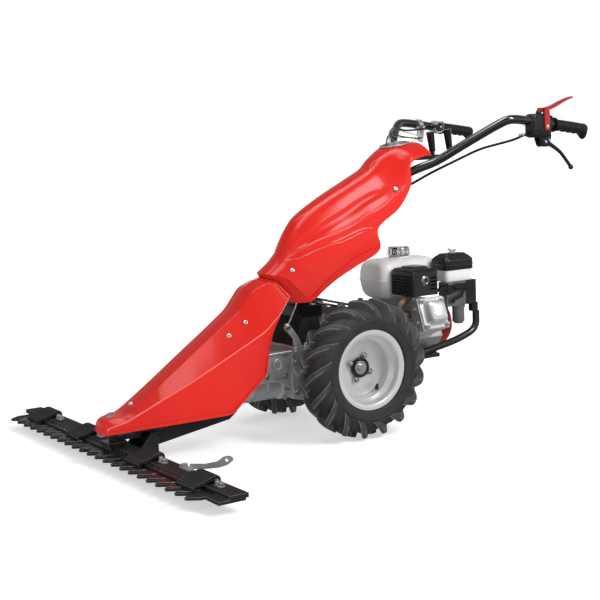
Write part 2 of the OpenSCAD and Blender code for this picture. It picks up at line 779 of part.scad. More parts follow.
// Covers
module front_hood() {
    color(red) place()
        difference() {
            shell([for (h = front_net) whole([for (q = h) [q[0], reach_y(q[1]), q[2]]])], cover_t);
            translate([0, reach_y(nose_y), 100]) cylinder(r = 5, h = 60);
        }
}

module upper_hood() {
    color(red) place()
        difference() {
            shell(flip(refine(flip(refine([for (h = upper_net) whole(h)], 2)), 2)), cover_t);
            translate([0, 300, 800]) cylinder(r = 44, h = 60);
        }
}

// Moves to the screw seat on the nose of the front cover
module on_nose() {
    place() translate([0, reach_y(nose_y), nose_z]) rotate([nose_tilt, 0, 0]) children();
}

module hood_screws() {
    color(zinc) on_nose() {
        translate([0, 0, seat_gap]) cylinder(r = 12, h = 2);
        translate([0, 0, 1.5]) hex_bolt(9, 8);
        translate([0, 0, -14]) cylinder(r = 4.5, h = 16);
    }
}

module hood_brackets() {
    color(black) {
        difference() {
            union() {
                place() block([-16, reach_y(nose_y) - 16, box_step], [16, -box_front + 44, box_step + 6]);
                on_nose() translate([0, 0, -12]) cylinder(r = 9, h = 12 - cover_t - seat_gap);
            }
            on_nose() translate([0, 0, -30]) cylinder(r = 4.5 + seat_gap, h = 40);
        }
        place()
            for (m = [0, 1])
                mirror([m, 0, 0])
                    translate([0, stay[0], stay[1]])
                        along_x(column_half_w, stay_r, stay_end - column_half_w);
    }
}

// Engine
module clutch_housing() {
    color(grey) place() translate([0, 0, crank_z])
        difference() {
            union() {
                along_y(gear_back, 74, case_front - gear_back);
                along_y(case_front - 14, clutch_r, 14);
            }
            along_y(gear_back - 1, crank_r + 8, 12);
            along_y(gear_back + 10, 62, case_front - gear_back);
        }
}

module crankcase() {
    a = tilted(case_reach, -case_half);
    b = tilted(case_reach, case_half);
    w = case_wall;
    color(grey) place()
        difference() {
            front_plate([[case_left, case_bottom], [60, case_bottom], a, b, [case_left, b[1]]],
                        case_front, case_back);
            front_plate([[case_left + w, case_bottom + w], [60 - w, case_bottom + w],
                         tilted(case_reach - w, -case_half + w), tilted(case_reach - w, case_half - w),
                         [case_left + w, b[1] - w]],
                        case_front + w, case_back - w);
            translate([0, 0, crank_z])
                along_y(case_front - 1, crank_r + run_gap, case_back - case_front + 2);
        }
}

module crankshaft() {
    color(zinc) place() translate([0, 0, crank_z]) {
        along_y(gear_back + 20, crank_r, shroud_back - gear_back - 40);
        along_y(gear_back + 30, 52, 20);
        along_y(case_back + 16, flywheel_r, 22);
        along_y(cyl_y - 30, 46, 12);
        along_y(cyl_y + 18, 46, 12);
    }
}

// Moves to the cylinder: x along its axis, z across it
module on_cylinder() {
    place() translate([0, cyl_y, crank_z]) rotate([0, -cyl_tilt, 0]) children();
}

module cylinder_block() {
    step = (head_reach - case_reach - 8) / fin_count;
    color(grey) on_cylinder()
        difference() {
            union() {
                translate([case_reach, -40, -40]) cube([head_reach - case_reach, 80, 80]);
                for (k = [0 : fin_count - 1])
                    translate([case_reach + 4 + k * step, -fin_w / 2, -fin_w / 2])
                        cube([fin_t, fin_w, fin_w]);
                translate([head_reach - 6, -fin_w / 2, -fin_w / 2]) cube([6, fin_w, fin_w]);
            }
            along_x(case_reach - 1, 34, head_reach - case_reach - 20);
        }
}

module valve_cover() {
    w = fin_w / 2;
    color(zinc) on_cylinder() {
        translate([head_reach, 0, 0])
            rotate([0, 90, 0])
                linear_extrude(height = 5)
                    round_rect(-w + 2, -w + 4, w - 2, w - 4, 12);
        translate([head_reach + 4, 0, 0])
            rotate([0, 90, 0])
                linear_extrude(height = cover_reach - head_reach - 4)
                    round_rect(-w + 16, -w + 14, w - 14, w - 14, 14);
        for (y = [-w + 14, w - 14])
            for (z = [-w + 12, w - 12])
                translate([head_reach + 4, y, z]) rotate([0, 90, 0]) hex_bolt(6, 6);
    }
}

module muffler() {
    port_y = cyl_y - fin_w / 2 - seat_gap;
    color(grey) place() {
        difference() {
            slab(44, 254, 141, 334, 18, 386, 440);
            slab(47, 257, 138, 331, 15, 389, 437);
        }
        for (x = [70, 116])
            translate([x, 294, 439]) cylinder(r = 6, h = 8 - seat_gap);
        translate([0, 288, 424]) along_x(140, 8, 9);
        sweep(bend_path([[104, port_y, 318], [104, 224, 318], [104, 222, 350], [104, 262, 372],
                         [104, 270, 388]], 14, 3), 11.5, 12, [1, 0, 0]);
    }
}

module muffler_guard() {
    color(black) place()
        difference() {
            slab(35, 245, 150, 343, 10, 378, 450);
            slab(38, 248, 147, 340, 8, 370, 447);
            for (k = [0 : 5])
                for (s = [0, 1])
                    translate([46 + s * 50, 240, 388 + k * 9]) cube([42, 8, 4]);
            translate([140, 288, 424]) rotate([0, 90, 0]) cylinder(r = 10, h = 20);
            for (k = [0 : 3])
                translate([140, 308, 394 + k * 11]) cube([20, 24, 5]);
            for (k = [0 : 4])
                translate([50 + k * 18, 256, 440]) cube([9, 24, 20]);
        }
}

module fuel_tank() {
    color(white) place() {
        difference() {
            union() {
                tank_form(0);
                slab(tank_x0 - 3, tank_y0 - 3, tank_x1 - 2, tank_y1 + 3, 24,
                     tank_seam - 1.5, tank_seam + 1.5);
                translate([cap_x, cap_y, tank_z1 - 8]) cylinder(r = neck_r, h = 20);
            }
            tank_form(4);
            translate([cap_x, cap_y, tank_z1 - 12]) cylinder(r = neck_r - 4, h = 40);
        }
        for (y = [250, 380])
            block([-70, y, crankcase_top() + seat_gap], [-30, y + 24, tank_z0 + 2]);
    }
}

function crankcase_top() = tilted(case_reach, case_half)[1];

// Tank body drawn in by g all round
module tank_form(g) {
    hull() {
        tank_slab(17 + g, 20, tank_z0 + g, tank_z0 + g + 1);
        tank_slab(g, 26, tank_seam - 3, tank_seam + 40);
        tank_slab(12 + g, 24, tank_z1 - 9 - g, tank_z1 - 8 - g);
        tank_slab(36, 20, tank_z1 - 1 - g, tank_z1 - g);
    }
}

module tank_slab(d, r, z0, z1) {
    slab(tank_x0 + d, tank_y0 + d, tank_x1 - d, tank_y1 - d, r, z0, z1, $fn = 32);
}

module fuel_cap() {
    color(zinc) place() translate([cap_x, cap_y, cap_z])
        difference() {
            union() {
                cylinder(r = cap_r, h = cap_h - 6);
                cylinder(r = cap_r - 4, h = cap_h);
            }
            translate([0, 0, -1]) cylinder(r = neck_r + slide_gap, h = 10);
            for (a = [0 : 30 : 330])
                rotate([0, 0, a]) translate([cap_r + 1, 0, -1]) cylinder(r = 4, h = cap_h - 6);
        }
}

module filter_base() {
    color(white) place()
        difference() {
            slab(filter_x0 + 3, filter_y0 + 3, filter_x1 - 3, filter_y1 - 3, 14, filter_z0, filter_z);
            slab(filter_x0 + 8, filter_y0 + 8, filter_x1 - 8, filter_y1 - 8, 10,
                 filter_z0 + 5, filter_z + 8);
            translate([96, 448, filter_z0 - 6]) cylinder(r = 8, h = 20);
        }
}

module filter_cover() {
    color(black) place()
        difference() {
            union() {
                for (q = [[0, 0, 32], [6, 31, 44], [16, 43, filter_h]])
                    slab(filter_x0 + q[0], filter_y0 + q[0], filter_x1 - q[0], filter_y1 - q[0], 14,
                         filter_z + q[1], filter_z + q[2]);
            }
            slab(filter_x0 + 4, filter_y0 + 4, filter_x1 - 4, filter_y1 - 4, 11,
                 filter_z - 1, filter_z + 28);
        }
}

module wing_nut() {
    filter_mid = [(filter_x0 + filter_x1) / 2, (filter_y0 + filter_y1) / 2, filter_z + filter_h];
    color(zinc) place() translate(filter_mid) {
        cylinder(r = 13, h = 2);
        cylinder(r = 7, h = 9);
        for (m = [0, 1])
            mirror([m, 0, 0])
                front_plate([[3, 3], [10, 4], [20, 9], [17, 13], [10, 12], [3, 8]], -2, 2);
    }
}

module carburettor() {
    color(grey) place() {
        block([88, 392, 330], [126, 470, filter_z0]);
        translate([108, 0, 345]) along_y(cyl_y + fin_w / 2 + seat_gap, 14, 392 - cyl_y - fin_w / 2 + 1);
        translate([114, 448, 280]) cylinder(r = 19, h = 51);
        translate([114, 448, 276]) cylinder(r = 8, h = 6);
    }
}

module intake_box() {
    color(black) place() {
        slab(86, 471, 122, 519, 6, 330, filter_z0);
        slab(94, 505, 116, 530, 5, duct_bottom, 331);
    }
}

module starter_shroud() {
    color(red) place() translate([0, 0, crank_z])
        difference() {
            along_y(case_back, shroud_r, shroud_back - case_back);
            along_y(case_back - 1, shroud_r - 4, shroud_back - case_back - 3);
            for (a = [0 : 30 : 330])
                rotate([0, a, 0])
                    translate([38, shroud_back - 10, -4]) cube([40, 20, 8]);
        }
}

module engine_guard() {
    color(black) place() {
        tube(bend_path(guard_route, 40, 5), guard_r, tube_t, 14, [1, 0, 0]);
        block([40, 300, case_bottom - base_t], [112, 372, case_bottom - seat_gap]);
        side_plate([[306, case_bottom - base_t], [366, case_bottom - base_t], [366, 204], [306, 194]],
                   97, 104);
    }
}

// Handlebar
module handle_column() {
    w = column_half_w;
    color(black) place() {
        difference() {
            side_plate([[-100, lid_top], [-46, lid_top], [-42, 388], [120, 496], [196, 600], [232, 690],
                        [232, 742], [196, 742], [186, 704], [60, 560], [-100, 415]], -w, w);
            side_plate([[-95, lid_top + 5], [-51, lid_top + 5], [-50, 390], [117, 502], [191, 602],
                        [227, 691], [227, 737], [200, 737], [190, 702], [63, 556], [-95, 412]],
                       -w + 4, w - 4);
        }
        difference() {
            side_plate([[231, 712], [231, 742], [282, 772], [282, 808], [294, 808], [294, 764], [244, 712]],
                       -12, 38);
            for (q = [gear_rod, lock_rod])
                translate([q[0], 0, q[1]]) along_y(270, rod_r + run_gap, 40);
        }
    }
}

module handle_clamp() {
    color(black) place()
        for (m = [0, 1])
            mirror([m, 0, 0]) translate([0, clamp_pivot[0], clamp_pivot[1]])
                along_x(column_half_w, clamp_r, clamp_t);
}

function grip_point(s) = [grip_x, grip_y0 + s * cos(grip_tilt), grip_z0 + s * sin(grip_tilt)];

module handlebar_shape() {
    tube(bend_path(handle_route, 40, 3), tube_r, tube_t, 16, [0, 0, 1]);
}

module left_handlebar() { color(black) place() handlebar_shape(); }

module right_handlebar() { color(black) place() mirror([1, 0, 0]) handlebar_shape(); }

module grips() {
    color(rubber)
        for (side = [-1, 1])
            on_grip(side)
                difference() {
                    union() {
                        along_y(0, grip_r, grip_len);
                        along_y(0, grip_r + 5, 6);
                        translate([0, 0, -14]) along_y(grip_len - 10, grip_r, 10);
                    }
                    along_y(-1, tube_r + seat_gap, grip_len - 11);
                }
}

// Moves to the handlebar tube: y along the grip, from its front end
module on_grip(side) {
    place() translate([side * grip_x, grip_y0, grip_z0]) rotate([grip_tilt, 0, 0]) children();
}

module control_block() {
    color(black) {
        place() {
            difference() {
                slab(grip_x - 21, block_front, grip_x + 21, 688, 8, 842, 912);
                translate([grip_x, grip_y0, grip_z0])
                    rotate([grip_tilt, 0, 0]) along_y(-130, tube_r + seat_gap, 160);
            }
            for (x = [-14, 9.5])
                block([grip_x + x, 648, 812], [grip_x + x + 4.5, 678, 843]);
            translate([grip_x, clutch_pivot[0], clutch_pivot[1]]) along_x(-14, pin_r, 28);
            for (x = [-18, 13.5])
                block([grip_x + x, 654, 911], [grip_x + x + 4.5, 674, 925.5]);
            translate([grip_x, stop_pivot[0], stop_pivot[1]]) along_x(-18, pin_r, 36);
        }
    }
}

module clutch_lever() {
    color(black) place()
        difference() {
            side_plate([[650, 832], [674, 836], [692, 823], [740, 802], [780, 762], [790, 748], [780, 740],
                        [768, 750], [732, 786], [690, 806], [654, 816]], grip_x - 8.5, grip_x + 8.5);
            translate([grip_x, clutch_pivot[0], clutch_pivot[1]]) along_x(-10, pin_r + run_gap, 20);
        }
}

module stop_lever() {
    arm_x = grip_x + 21.5;
    color(red) place()
        difference() {
            union() {
                side_plate([[655, 916], [674, 915], [720, 933], [788, 955], [788, 962], [716, 945],
                            [668, 928], [656, 926]], grip_x - 12.5, grip_x + 12.5);
                block([grip_x - 12.5, 656, 920], [grip_x + 12.5, 668, 933]);
                block([grip_x, 656, 929.5], [arm_x + 3, 668, 933]);
                side_plate([[653, 933], [671, 933], [671, 858], [653, 858]], arm_x, arm_x + 3);
            }
            translate([grip_x, stop_pivot[0], stop_pivot[1]]) along_x(-14, pin_r + run_gap, 28);
        }
}

module throttle_clamp() {
    color(zinc) on_grip(-1)
        difference() {
            union() {
                along_y(throttle_y - 11, tube_r + 7, 22);
                translate([0, throttle_y, 0]) along_x(10, drum_r, 14);
                translate([0, throttle_y, 0]) along_x(23, pin_r, 10);
            }
            along_y(throttle_y - drum_r - 5, tube_r + seat_gap, 2 * drum_r + 10);
        }
}

module throttle_lever() {
    color(black) on_grip(-1)
        difference() {
            union() {
                translate([0, throttle_y, 0]) along_x(24 + slide_gap, 15, 5);
                translate([24 + slide_gap, throttle_y - 31, -5]) cube([5, 32, 10]);
            }
            translate([0, throttle_y, 0]) along_x(22, pin_r + run_gap, 20);
        }
}

module cable_bracket() {
    color(zinc) on_grip(-1)
        difference() {
            union() {
                along_y(-102, tube_r + 4, 16);
                rotate([-grip_tilt, 0, 0])
                    side_plate([[-112, 8], [-76, 8], [-88, -48], [-104, -44]], 12, 16);
            }
            along_y(-120, tube_r + seat_gap, 60);
        }
}

module control_cables() {
    color(black) place() {
        sweep(bend_path(clutch_route, 30, 3), 4, 8, [0, 0, 1]);
        sweep(bend_path(throttle_route, 30, 3), 3, 8, [0, 0, 1]);
        sweep(bend_path(wire_route, 30, 3), 2.5, 8, [0, 0, 1]);
    }
}

module selector(q, y, knob_z) {
    translate([q[0], 0, q[1]]) along_y(264, rod_r, y - 264);
    translate([q[0], y, q[1] - rod_r - 3]) cylinder(r = rod_r + 2, h = knob_z - q[1] + 14);
    translate([q[0], y, knob_z]) rotate([8, 0, 0]) cylinder(r1 = 10, r2 = 13, h = 62);
}

module gear_lever() { color(black) place() selector(gear_rod, 452, 806); }
module lock_lever() { color(black) place() selector(lock_rod, 496, 812); }

left_tyre();
left_rim();
left_hub();
left_wheel_nuts();
right_tyre();
right_rim();
right_hub();
right_wheel_nuts();
gearbox_left();
gearbox_right();
gearbox_lid();
axle_tubes();
pto_tube();
pto_shaft();
front_frame();
drive_box();
bar_bracket();
guard_bar();
guard_fingers();
knife_sections();
knife_back();
knife_head();
rocker();
hold_downs();
bar_bolts();
swath_arm();
front_hood();
upper_hood();
hood_screws();
hood_brackets();
clutch_housing();
crankcase();
crankshaft();
cylinder_block();
valve_cover();
muffler();
muffler_guard();
fuel_tank();
fuel_cap();
filter_base();
filter_cover();
wing_nut();
carburettor();
intake_box();
starter_shroud();
engine_guard();
handle_column();
handle_clamp();
left_handlebar();
right_handlebar();
grips();
control_block();
clutch_lever();
stop_lever();
throttle_clamp();
throttle_lever();
cable_bracket();
control_cables();
gear_lever();
lock_lever();
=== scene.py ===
import json
from math import cos, pi, radians, sin

import bmesh
import bpy
from mathutils import Matrix, Vector, kdtree


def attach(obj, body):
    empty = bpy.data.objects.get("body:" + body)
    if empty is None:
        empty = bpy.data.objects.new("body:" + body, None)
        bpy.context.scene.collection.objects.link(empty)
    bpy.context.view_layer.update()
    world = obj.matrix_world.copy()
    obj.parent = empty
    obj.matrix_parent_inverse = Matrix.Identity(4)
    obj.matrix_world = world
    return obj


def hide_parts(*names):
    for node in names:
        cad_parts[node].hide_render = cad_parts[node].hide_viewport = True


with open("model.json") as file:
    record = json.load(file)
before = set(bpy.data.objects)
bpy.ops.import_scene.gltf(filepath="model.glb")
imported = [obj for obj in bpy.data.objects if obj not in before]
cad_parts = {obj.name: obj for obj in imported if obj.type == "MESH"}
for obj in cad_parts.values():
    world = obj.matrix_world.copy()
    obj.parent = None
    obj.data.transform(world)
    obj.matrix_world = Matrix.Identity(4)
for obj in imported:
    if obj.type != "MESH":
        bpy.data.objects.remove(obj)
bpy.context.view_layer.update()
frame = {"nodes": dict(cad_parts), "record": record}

bl_info = {
    "name": "Sickle bar mower",
    "version": (1, 0, 0),
    "blender": (4, 5, 0),
    "location": "3D View > Sidebar > Mower",
    "description": "Dresses the solids of a two-wheeled sickle bar mower",
    "category": "Object",
}

MM = 0.001
AXLE_SHIFT = -41.0
AXLE_Z = 203.0
BODY = {node: body for body, nodes in frame["record"]["behaviour"]["bodies"].items() for node in nodes}
SLOT = {part["node"]: part["material_slot"] for part in frame["record"]["subparts"]}
X, Y, Z = Vector((1, 0, 0)), Vector((0, 1, 0)), Vector((0, 0, 1))


def at(x, y, z):
    """Point of the machine from millimetres beside, behind and above the middle of the axle's track."""
    return Vector((x, y + AXLE_SHIFT, z)) * MM


# ---------------------------------------------------------------- settings

def length(name, text, default):
    return bpy.props.FloatProperty(name=name, description=text, default=default, min=0.0, unit="LENGTH")


def colour(name, text, default):
    return bpy.props.FloatVectorProperty(
        name=name, description=text, default=default, size=3, min=0.0, max=1.0, subtype="COLOR")


def amount(name, text, default, unit="NONE"):
    return bpy.props.FloatProperty(name=name, description=text, default=default, unit=unit)


class MowerSizes(bpy.types.PropertyGroup):
    """Sizes of the dressed pieces"""
    cover_t: length("Cover wall", "Wall thickness of the covers", 0.003)
    cover_edge: length("Cover edge", "Rounding of the creases of the front cover", 0.004)
    cover_flange: length("Cover flange", "Width of the flange along the edges of the covers", 0.009)
    tube_r: length("Tube radius", "Radius of the handlebar tubes", 0.0135)
    guard_r: length("Guard radius", "Radius of the engine guard tube", 0.011)
    grip_r: length("Grip radius", "Radius of the grips", 0.0175)
    cable_r: length("Cable radius", "Radius of the clutch cable", 0.004)
    lug_w: length("Lug width", "Width of a tread lug at its top", 0.018)
    soft_edge: length("Soft edge", "Rounding of cast and moulded edges", 0.0016)
    sharp_edge: length("Sharp edge", "Rounding of cut and pressed edges", 0.0007)


class MowerColours(bpy.types.PropertyGroup):
    """Colours of the finishes"""
    red: colour("Red", "Covers and stop lever", (0.70, 0.022, 0.015))
    black: colour("Black", "Painted steel", (0.0045, 0.0045, 0.005))
    iron: colour("Iron", "Black painted castings", (0.017, 0.017, 0.0175))
    rubber: colour("Rubber", "Tyres", (0.021, 0.021, 0.0215))
    rim: colour("Rim", "Painted rims", (0.58, 0.585, 0.59))
    cast: colour("Castings", "Gearbox castings", (0.46, 0.465, 0.47))
    alloy: colour("Alloy", "Engine castings", (0.55, 0.555, 0.56))
    bright: colour("Bright alloy", "Valve cover", (0.78, 0.785, 0.79))
    zinc: colour("Zinc", "Nuts, bolts and small fittings", (0.70, 0.70, 0.69))
    tank: colour("Tank", "Fuel tank", (0.90, 0.905, 0.90))
    white: colour("White", "Filter base", (0.72, 0.72, 0.70))
    floor: colour("Floor", "Studio floor", (0.90, 0.90, 0.90))


class MowerStage(bpy.types.PropertyGroup):
    """Camera and light of the studio"""
    lens: amount("Lens", "Focal length", 78.04, "CAMERA")
    key: amount("Key light", "Power of the main light", 130.0, "POWER")
    fill: amount("Fill light", "Power of the other lights", 22.0, "POWER")
    sky: amount("Room", "Brightness of the room", 1.0)
    floor_glow: amount("Floor glow", "Light that shines through the floor", 0.50)


# ---------------------------------------------------------------- finishes

class Value:
    """Output of a shader node. Arithmetic on it adds Math nodes."""

    def __init__(self, finish, socket):
        self.finish = finish
        self.socket = socket

    def __add__(self, other):
        return self.finish.math("ADD", self, other)

    __radd__ = __add__

    def __sub__(self, other):
        return self.finish.math("SUBTRACT", self, other)

    def __mul__(self, other):
        return self.finish.math("MULTIPLY", self, other)


class Finish:
    """A material under construction."""

    def __init__(self, name):
        self.material = bpy.data.materials.new(name)
        self.material.use_nodes = True
        self.tree = self.material.node_tree
        self.shader = self.tree.nodes["Principled BSDF"]
        self.place = self.node("ShaderNodeTexCoord", out="Object")

    def node(self, kind, settings=None, inputs=None, out=0):
        made = self.tree.nodes.new(kind)
        for key, value in (settings or {}).items():
            if key == "stops":
                ramp = made.color_ramp.elements
                while len(ramp) < len(value):
                    ramp.new(0.5)
                for element, (place, shade) in zip(ramp, value):
                    element.position = place
                    element.color = (shade, shade, shade, 1.0)
            else:
                setattr(made, key, value)
        for key, value in (inputs or {}).items():
            self.link(value, made.inputs[key])
        return Value(self, made.outputs[out])

    def link(self, value, socket):
        if isinstance(value, Value):
            self.tree.links.new(value.socket, socket)
        elif isinstance(value, (tuple, list)) and len(value) == 3 and socket.type == "RGBA":
            socket.default_value = (*value, 1.0)
        else:
            socket.default_value = value

    def math(self, operation, a, b):
        return self.node("ShaderNodeMath", {"operation": operation}, {0: a, 1: b})

    def stretched(self, scale):
        return self.node("ShaderNodeMapping", None, {"Vector": self.place, "Scale": scale})

    def noise(self, scale, detail=4.0, rough=0.55, stretch=None):
        place = self.stretched(stretch) if stretch else self.place
        return self.node("ShaderNodeTexNoise", None,
                         {"Vector": place, "Scale": scale, "Detail": detail, "Roughness": rough})

    def cells(self, scale, out=0):
        return self.node("ShaderNodeTexVoronoi", None, {"Vector": self.place, "Scale": scale}, out)

    def ramp(self, value, *stops):
        return self.node("ShaderNodeValToRGB", {"stops": stops}, {"Fac": value})

    def mix(self, amount, a, b):
        return self.node("ShaderNodeMix", {"data_type": "RGBA"}, {0: amount, 6: a, 7: b}, 2)

    def bump(self, height, strength, distance=0.001, under=None):
        inputs = {"Height": height, "Strength": strength, "Distance": distance}
        if under:
            inputs["Normal"] = under
        return self.node("ShaderNodeBump", None, inputs)

    def set(self, **sockets):
        for key, value in sockets.items():
            self.link(value, self.shader.inputs[key.replace("_", " ").title().replace("Ior", "IOR")])
        return self.material


def shade(base, factor):
    """Colour made lighter or darker."""
    return tuple(min(1.0, part * factor) for part in base)


def gloss_paint(name, base, rough, grain, coat, dust, shine=0.5, metallic=0.0):
    """Smooth paint or plastic with faint clouds, dust and a slight orange peel."""
    f = Finish(name)
    cloud = f.noise(5.0, 5.0)
    fine = f.noise(650.0, 2.0)
    specks = f.ramp(f.noise(210.0, 3.0, 0.7), (0.62, 0.0), (0.80, 1.0))
    tint = f.mix(cloud, shade(base, 0.86), shade(base, 1.08))
    pale = f.mix(0.5, shade(base, 1.0), (0.45, 0.44, 0.42))
    wave = f.bump(f.noise(70.0, 2.0), grain, 0.0006)
    return f.set(
        base_color=f.mix(specks * dust, tint, pale),
        roughness=rough + (cloud - 0.5) * 0.10 + specks * 0.12,
        coat_weight=coat, coat_roughness=0.08, specular_ior_level=shine, metallic=metallic,
        normal=f.bump(fine, grain * 0.5, 0.0003, wave))


def casting(name, base, rough, metallic, pitch, depth, worn=None, shine=0.5):
    """Sand or die casting: pitted skin, darker hollows, rubbed spots."""
    f = Finish(name)
    cloud = f.noise(14.0, 6.0, 0.6)
    skin = f.noise(pitch, 5.0, 0.65)
    pits = f.cells(pitch * 0.7)
    stain = f.ramp(f.noise(26.0, 6.0, 0.7), (0.45, 0.0), (0.68, 1.0))
    tint = f.mix(cloud, shade(base, 0.70), shade(base, 1.22))
    rubbed = f.mix(stain * 0.55, tint, worn or shade(base, 0.5))
    rough_skin = f.bump(pits, depth, 0.0006)
    return f.set(
        base_color=rubbed, metallic=metallic, specular_ior_level=shine,
        roughness=rough + (skin - 0.5) * 0.25 + stain * 0.08,
        normal=f.bump(skin, depth * 1.4, 0.0008, rough_skin))


def bright_metal(name, base, rough, grain=(1.0, 1.0, 1.0), smear=0.14):
    """Plated or turned metal with fine lines, smears and tarnish."""
    f = Finish(name)
    lines = f.noise(420.0, 4.0, 0.6, grain)
    cloud = f.noise(34.0, 5.0, 0.6)
    tarnish = f.ramp(f.noise(90.0, 4.0, 0.7), (0.48, 0.0), (0.72, 1.0))
    tint = f.mix(cloud, shade(base, 0.80), shade(base, 1.10))
    return f.set(
        base_color=f.mix(tarnish * 0.25, tint, shade(base, 0.45)), metallic=1.0,
        roughness=rough + (cloud - 0.5) * smear + (lines - 0.5) * 0.12,
        normal=f.bump(lines, 0.10, 0.0002))


def spangled(name, base):
    """Galvanised sheet with its crystal pattern."""
    f = Finish(name)
    crystal = f.cells(140.0, out="Color")
    grey = f.node("ShaderNodeRGBToBW", None, {"Color": crystal})
    cloud = f.noise(40.0, 5.0)
    return f.set(
        base_color=f.mix(grey, shade(base, 0.82), shade(base, 1.08)), metallic=0.55,
        roughness=0.42 + (grey - 0.5) * 0.16 + (cloud - 0.5) * 0.10,
        normal=f.bump(cloud, 0.15, 0.0006))


def moulded(name, base, rough, grain, depth, dust, shine=0.3):
    """Moulded plastic or rubber with a leathery skin and dust in it."""
    f = Finish(name)
    skin = f.cells(grain)
    fine = f.noise(grain * 2.2, 3.0)
    cloud = f.noise(11.0, 6.0, 0.6)
    settled = f.ramp(f.noise(30.0, 6.0, 0.65), (0.42, 0.0), (0.75, 1.0))
    tint = f.mix(cloud, shade(base, 0.75), shade(base, 1.30))
    soft = f.bump(skin, depth, 0.0005)
    return f.set(
        base_color=f.mix(settled * dust, tint, (0.20, 0.195, 0.185)),
        roughness=rough + (cloud - 0.5) * 0.16 + settled * 0.08, specular_ior_level=shine,
        normal=f.bump(fine, depth * 0.6, 0.0003, soft))


def tank_plastic(name, base):
    """Pale satin tank or moulding with faint flow marks and a little grime."""
    f = Finish(name)
    flow = f.noise(9.0, 5.0, 0.6, (1.0, 1.0, 3.0))
    fine = f.noise(800.0, 2.0)
    grime = f.ramp(f.noise(48.0, 6.0, 0.7), (0.55, 0.0), (0.82, 1.0))
    return f.set(
        base_color=f.mix(grime * 0.10, f.mix(flow, shade(base, 0.93), shade(base, 1.05)), shade(base, 0.55)),
        roughness=0.34 + (flow - 0.5) * 0.10 + grime * 0.10, coat_weight=0.15, coat_roughness=0.2,
        normal=f.bump(fine, 0.04, 0.0003))


def burnt_pipe(name):
    """Exhaust pipe with heat tints from straw to brown."""
    f = Finish(name)
    heat = f.noise(60.0, 5.0, 0.6)
    scale = f.noise(380.0, 4.0)
    return f.set(
        base_color=f.mix(heat, (0.085, 0.050, 0.030), (0.23, 0.16, 0.10)), metallic=0.7,
        roughness=0.48 + (scale - 0.5) * 0.25, normal=f.bump(scale, 0.25, 0.0005))


